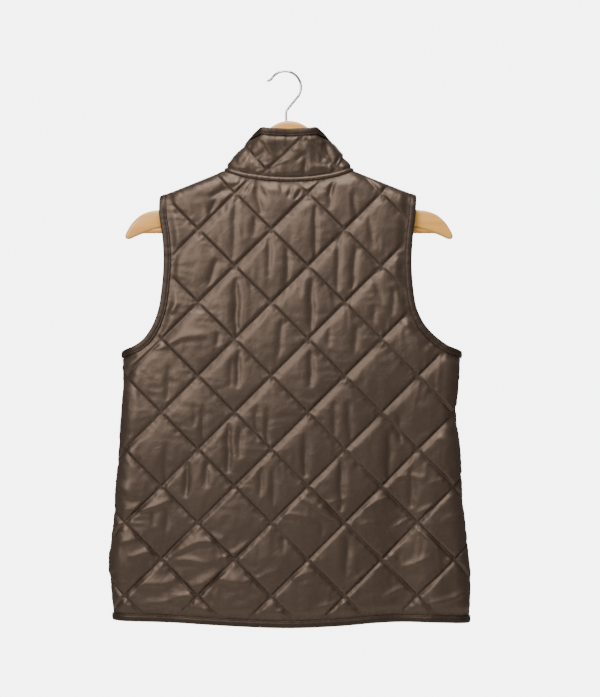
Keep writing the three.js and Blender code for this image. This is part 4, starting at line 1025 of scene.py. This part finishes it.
def zip_teeth():
    bm = bmesh.new()
    bmesh.ops.create_cube(bm, size=1)
    scale = (TOOTH_REACH * MM, TOOTH_WIDE * MM, (CHAIN_OVER - CHAIN_UNDER) * MM)
    bmesh.ops.scale(bm, vec=scale, verts=bm.verts)
    round_edges(bm, bm.edges[:], 0.35, 2)
    tooth = mesh_of("tooth", bm)
    line = zip_line()
    run = runs(line)
    normals = np.cross(run, (-1, 0, 0))
    side = np.where(np.arange(len(line)) % 2 == 0, 1, -1)[:, None]
    ways = side * np.array((1.0, 0, 0))
    return repeated("zip_teeth", tooth, line + ways * (TOOTH_REACH / 2 - TOOTH_PAST_MIDDLE), ways, normals)


# A copy of a hard CAD piece with its edges rounded
def rounded_copy(name, node, radius):
    bm = bmesh.new()
    bm.from_mesh(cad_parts[node].data)
    bmesh.ops.remove_doubles(bm, verts=bm.verts, dist=1e-6)
    bmesh.ops.dissolve_limit(bm, angle_limit=math.radians(4), verts=bm.verts, edges=bm.edges)
    sharp = [edge for edge in bm.edges if edge.calc_face_angle(0) > math.radians(35)]
    round_edges(bm, sharp, radius, 2, clamped=True)
    mesh = mesh_of(name, bm)
    shade_smooth(mesh)
    mesh.set_sharp_from_angle(angle=math.radians(40))
    return new_object(name, mesh)


# Hanger
HANGER_THICK, WOOD_EDGE = 13.0, 4.0
BAR_RADIUS, BAR_Z, BAR_HALF, BAR_EDGE = 4.8, -216.7, 203.0, 0.8
WIRE_RADIUS, HOOK_RADIUS = 1.6, 22.0
STEM_X, STEM_TOP, CROWN_TOP, STEM_DEEP = 1.6, -55.0, -66.8, 22.0
STEM_BEND, HOOK_TIP = (3.0, 5.5), (-24.8, -12.2)
HOOK_FROM, HOOK_TO = -0.8, 2.62  # angles round the hook, from level at its right
# Right half of the wood's outline, from the crown out along the top and back along the bottom
WOOD_TOP = [
    (14, -69.5), (27, -77), (39, -89), (54, -107), (71, -126), (80, -134), (88, -140.7), (100, -144.2),
    (112, -150.5), (140, -167), (160, -178.5), (172, -188), (188, -190.5), (202, -195.5), (214, -205.5),
    (222, -217.5), (225, -226),
]
WOOD_BOTTOM = [
    (220, -229.3), (206, -223.5), (188, -217), (168, -211), (140, -199), (104, -182), (66, -165), (30, -152),
]


def hanger_board():
    half = [*WOOD_TOP, *WOOD_BOTTOM]
    loop = [(0, CROWN_TOP), *half, (0, -147), *[(-x, z) for x, z in reversed(half)]]
    outline = smooth_line([loop[-1], *loop, loop[0], loop[1]], 6 * (len(loop) + 2))[6:-6]
    bm = bmesh.new()
    y = -HANGER_THICK / 2
    verts = [bm.verts.new(((x + MIDDLE) * MM, y * MM, z * MM)) for x, z in outline[:-1]]
    face = bm.faces.new(verts)
    pushed = bmesh.ops.extrude_face_region(bm, geom=[face])["geom"]
    far = [vert for vert in pushed if isinstance(vert, bmesh.types.BMVert)]
    bmesh.ops.translate(bm, vec=(0, HANGER_THICK * MM, 0), verts=far)
    bmesh.ops.recalc_face_normals(bm, faces=bm.faces)
    rims = [edge for edge in bm.edges if abs(edge.verts[0].co.y - edge.verts[1].co.y) < 1e-6]
    round_edges(bm, rims, WOOD_EDGE, 4, clamped=True)
    return smooth_piece("hanger_board", bm)


def hanger_rod():
    bm = bmesh.new()
    radius = BAR_RADIUS * MM
    bmesh.ops.create_cone(
        bm, cap_ends=True, segments=40, radius1=radius, radius2=radius, depth=2 * BAR_HALF * MM
    )
    bmesh.ops.rotate(bm, cent=(0, 0, 0), matrix=Matrix.Rotation(QUARTER, 3, "Y"), verts=bm.verts)
    bmesh.ops.translate(bm, vec=(MIDDLE * MM, 0, BAR_Z * MM), verts=bm.verts)
    rims = [edge for edge in bm.edges if edge.calc_face_angle(0) > 1]
    round_edges(bm, rims, BAR_EDGE, 2)
    return smooth_piece("hanger_rod", bm)


def hanger_wire():
    turns = np.linspace(HOOK_FROM, HOOK_TO, 13)
    arc = [(HOOK_RADIUS * math.cos(t), WIRE_RADIUS - HOOK_RADIUS + HOOK_RADIUS * math.sin(t)) for t in turns]
    stem = [(STEM_X, z) for z in (CROWN_TOP - STEM_DEEP + SEAM, CROWN_TOP, STEM_TOP)]
    bend = (STEM_X + STEM_BEND[0], STEM_TOP + STEM_BEND[1])
    path = smooth_line([*stem, bend, *arc, HOOK_TIP], 400)
    line = evenly(np.stack([path[:, 0], np.zeros(len(path)), path[:, 1]], axis=1), 0.9)
    to_tip = np.linalg.norm(line - line[-1], axis=1)
    # The wire ends in a round tip
    from_end = np.minimum(1, (to_tip + 0.08) / WIRE_RADIUS)
    radii = WIRE_RADIUS * np.sqrt(np.clip(1 - (1 - from_end) ** 2, 0.02, 1))
    return tube("hanger_wire", line, radii, 18)


# Materials

def srgb(*values):
    linear = [v / 255 / 12.92 if v / 255 <= 0.04045 else ((v / 255 + 0.055) / 1.055) ** 2.4 for v in values]
    return (*linear, 1)


def new_material(name, roughness, metallic=0.0):
    material = bpy.data.materials.new(name)
    material.use_nodes = True
    tree = material.node_tree
    shader = tree.nodes["Principled BSDF"]
    shader.inputs["Roughness"].default_value = roughness
    shader.inputs["Metallic"].default_value = metallic
    return material, tree, shader


def object_place(tree, scale=(1, 1, 1)):
    place = tree.nodes.new("ShaderNodeTexCoord")
    mapping = tree.nodes.new("ShaderNodeMapping")
    mapping.inputs["Scale"].default_value = scale
    tree.links.new(place.outputs["Object"], mapping.inputs["Vector"])
    return mapping.outputs["Vector"]


def noise(tree, vector, scale, detail=3.0, distortion=0.0):
    node = tree.nodes.new("ShaderNodeTexNoise")
    node.inputs["Scale"].default_value = scale
    node.inputs["Detail"].default_value = detail
    node.inputs["Distortion"].default_value = distortion
    tree.links.new(vector, node.inputs["Vector"])
    return node.outputs["Fac"]


def tinted(tree, shader, amount, dark, light):
    mix = tree.nodes.new("ShaderNodeMix")
    mix.data_type = "RGBA"
    mix.inputs["A"].default_value = dark
    mix.inputs["B"].default_value = light
    tree.links.new(amount, mix.inputs["Factor"])
    tree.links.new(mix.outputs["Result"], shader.inputs["Base Color"])


def bumps(tree, shader, *layers):
    below = None
    for height, strength, distance in layers:
        bump = tree.nodes.new("ShaderNodeBump")
        bump.inputs["Strength"].default_value = strength
        bump.inputs["Distance"].default_value = distance
        tree.links.new(height, bump.inputs["Height"])
        if below is not None:
            tree.links.new(below, bump.inputs["Normal"])
        below = bump.outputs["Normal"]
    tree.links.new(below, shader.inputs["Normal"])


def shaded(colour, factor):
    return (*[c * factor for c in colour[:3]], 1)


# A thin, close-woven polyester with a shine
def taffeta(name, colour, roughness):
    material, tree, shader = new_material(name, roughness)
    place = object_place(tree)
    shader.inputs["Metallic"].default_value = 0.72
    shader.inputs["Specular IOR Level"].default_value = 0.6
    tinted(tree, shader, noise(tree, place, 9, 5), shaded(colour, 0.86), shaded(colour, 1.14))
    crinkle = noise(tree, place, 75, 5, 0.6)
    weave = noise(tree, object_place(tree, (1, 1, 2.2)), 1300, 2)
    bumps(tree, shader, (crinkle, 0.4, 0.0016), (weave, 0.3, 0.0002))
    return material


def coloured(name, colour, roughness, grain, depth, metallic=0.0):
    material, tree, shader = new_material(name, roughness, metallic)
    place = object_place(tree)
    tinted(tree, shader, noise(tree, place, grain / 6, 4), shaded(colour, 0.85), shaded(colour, 1.12))
    bumps(tree, shader, (noise(tree, place, grain, 3), 0.3, depth))
    return material


def varnished_wood():
    material, tree, shader = new_material("varnished wood", 0.38)
    shader.inputs["Coat Weight"].default_value = 0.35
    shader.inputs["Coat Roughness"].default_value = 0.2
    along = object_place(tree, (5, 90, 90))
    fine = object_place(tree, (22, 700, 700))
    rings = noise(tree, along, 1.0, 6, 1.2)
    tinted(tree, shader, rings, srgb(200, 125, 45), srgb(245, 190, 95))
    bumps(tree, shader, (noise(tree, fine, 1.0, 3), 0.25, 0.0003))
    return material


def chromed_wire():
    material, tree, shader = new_material("chromed wire", 0.12, 1.0)
    colour = srgb(208, 209, 212)
    tinted(tree, shader, noise(tree, object_place(tree), 40, 3), shaded(colour, 0.92), shaded(colour, 1.05))
    bumps(tree, shader, (noise(tree, object_place(tree), 500, 2), 0.08, 0.0002))
    return material


shell_cloth = taffeta("brown taffeta", srgb(82, 67, 56), 0.47)
trim_cloth = taffeta("brown binding strip", srgb(60, 47, 38), 0.5)
thread_finish = coloured("brown thread", srgb(78, 64, 54), 0.6, 3000, 0.0001)
wood_finish = varnished_wood()
chrome_finish = chromed_wire()
metal_finish = coloured("cast slider metal", srgb(118, 100, 82), 0.32, 900, 0.0001, 0.9)
tape_finish = coloured("woven zip tape", srgb(58, 48, 41), 0.8, 1500, 0.0003)
tooth_finish = coloured("zip teeth", srgb(66, 54, 45), 0.4, 600, 0.0001)


# The vest
def area_of(outline):
    x, y = outline.T
    return abs((x * np.roll(y, -1) - y * np.roll(x, -1)).sum()) / 2


def add_cloth(name, cut, flip, seed, node):
    piece = quilted_piece(name, *cut, flip, seed)
    finish_piece(piece, shell_cloth, "quilted_cloth", "vest", node)
    stitches = quilt_stitches(name + "_stitches", *cut)
    finish_piece(stitches, thread_finish, "quilted_cloth")
    wide, tall = (cut[0].max(0) - cut[0].min(0)) * MM
    area = area_of(cut[0]) * MM * MM
    return piece, stitches, (wide, tall), area


def add_trim(name, stations, closed, pucker, seed, node):
    strip = binding(name, stations, closed, pucker, seed)
    finish_piece(strip, trim_cloth, "binding_tape", "vest", node)
    stitches = binding_stitches(name + "_stitches", stations)
    finish_piece(stitches, thread_finish, "binding_tape")
    return [strip, stitches]


hem = add_trim("hem_strip", hem_stations(), False, 0.22, 51, "hem_binding")
collar_top = add_trim("collar_strip", collar_top_stations(), False, 0.3, 55, "collar_binding")
armholes = [
    *add_trim("armhole_strip_left", armhole_stations(-1), True, 0.5, 61, "armhole_binding_left"),
    *add_trim("armhole_strip_right", armhole_stations(1), True, 0.5, 66, "armhole_binding_right"),
]
piping = finish_piece(neck_piping(), shell_cloth, "binding_tape", "vest", "neck_piping")

tapes = {}
for side, sign in (("left", -1), ("right", 1)):
    tape = zip_tape("woven_tape_" + side, sign)
    tapes[side] = finish_piece(tape, tape_finish, "zip_tape", "vest", "zip_tape_" + side)

for name, cut, flip, seed, node, held_pieces in (
    ("quilted_back", back_cut(), False, 3, "back_panel", [*hem, *armholes, piping]),
    ("quilted_front_left", front_cut(-1), True, 19, "front_left", [tapes["left"]]),
    ("quilted_front_right", front_cut(1), True, 21, "front_right", [tapes["right"]]),
    ("quilted_collar", collar_cut(), False, 31, "collar", collar_top),
):
    piece, stitches, flat, area = add_cloth(name, cut, flip, seed, node)

finish_piece(zip_teeth(), tooth_finish, "zip_teeth", "vest", "zip_chain")
for name, node, radius, body in (
    ("slider_body", "zip_slider", 0.35, "vest"),
    ("slider_pull", "zip_pull", 0.3, "zip_pull"),
):
    finish_piece(rounded_copy(name, node, radius), metal_finish, "slider_metal", body, node)
finish_piece(hanger_board(), wood_finish, "varnished_wood", "vest", "hanger_wood")
finish_piece(hanger_rod(), wood_finish, "varnished_wood", "vest", "hanger_bar")
finish_piece(hanger_wire(), chrome_finish, "chrome_wire", "vest", "hanger_hook")


# Floor, light and camera
CAMERA_AWAY = 4.0
VIEW_CENTRE = Vector((0.0206, 0.0, -0.3796))
VIEW_HIGH = 0.9584  # the height that the picture takes in, at the hanger
SENSOR = 36.0
LIT_PLACE = Vector((0, 0, -0.4))
FLOOR_Z = -1.5
SKY_STRENGTH, BACKDROP_STRENGTH = 0.27, 6.0  # the white world as light, and as it is seen behind the vest


def add_camera():
    data = bpy.data.cameras.new("camera")
    data.sensor_width = SENSOR
    data.lens = SENSOR * CAMERA_AWAY / VIEW_HIGH
    camera = new_object("camera", data)
    camera.location = VIEW_CENTRE + Vector((0, -CAMERA_AWAY, 0))
    camera.rotation_euler = (QUARTER, 0, 0)
    bpy.context.scene.camera = camera


def add_light(name, place, size, power):
    data = bpy.data.lights.new(name, "AREA")
    data.size = size
    data.energy = power
    lamp = new_object(name, data)
    lamp.location = place
    lamp.rotation_euler = (LIT_PLACE - Vector(place)).to_track_quat("-Z", "Y").to_euler()


def add_floor():
    bm = bmesh.new()
    bmesh.ops.create_grid(bm, x_segments=2, y_segments=2, size=2.5)
    bmesh.ops.translate(bm, vec=(0, 0, FLOOR_Z), verts=bm.verts)
    floor = new_object("floor", mesh_of("floor", bm))
    floor.data.materials.append(coloured("pale floor", srgb(236, 235, 232), 0.8, 30, 0.001))


def add_world():
    world = bpy.data.worlds.new("studio")
    world.use_nodes = True
    nodes, links = world.node_tree.nodes, world.node_tree.links
    sky = nodes["Background"]
    backdrop = nodes.new("ShaderNodeBackground")
    for source, strength in ((sky, SKY_STRENGTH), (backdrop, BACKDROP_STRENGTH)):
        source.inputs["Color"].default_value = (1, 1, 1, 1)
        source.inputs["Strength"].default_value = strength
    seen = nodes.new("ShaderNodeLightPath")
    either = nodes.new("ShaderNodeMixShader")
    links.new(seen.outputs["Is Camera Ray"], either.inputs["Fac"])
    links.new(sky.outputs["Background"], either.inputs[1])
    links.new(backdrop.outputs["Background"], either.inputs[2])
    links.new(either.outputs["Shader"], nodes["World Output"].inputs["Surface"])
    bpy.context.scene.world = world


add_camera()
for name, place, size, power in (
    ("key", (-0.15, -1.6, 1.6), 1.1, 39),
    ("overhead", (-0.05, -0.9, 2.3), 1.4, 60),
    ("low", (-1.0, -1.8, 0.4), 0.9, 27),
    ("front", (0.1, 2.4, 0.1), 1.6, 40),
):
    add_light(name, place, size, power)
add_floor()
add_world()
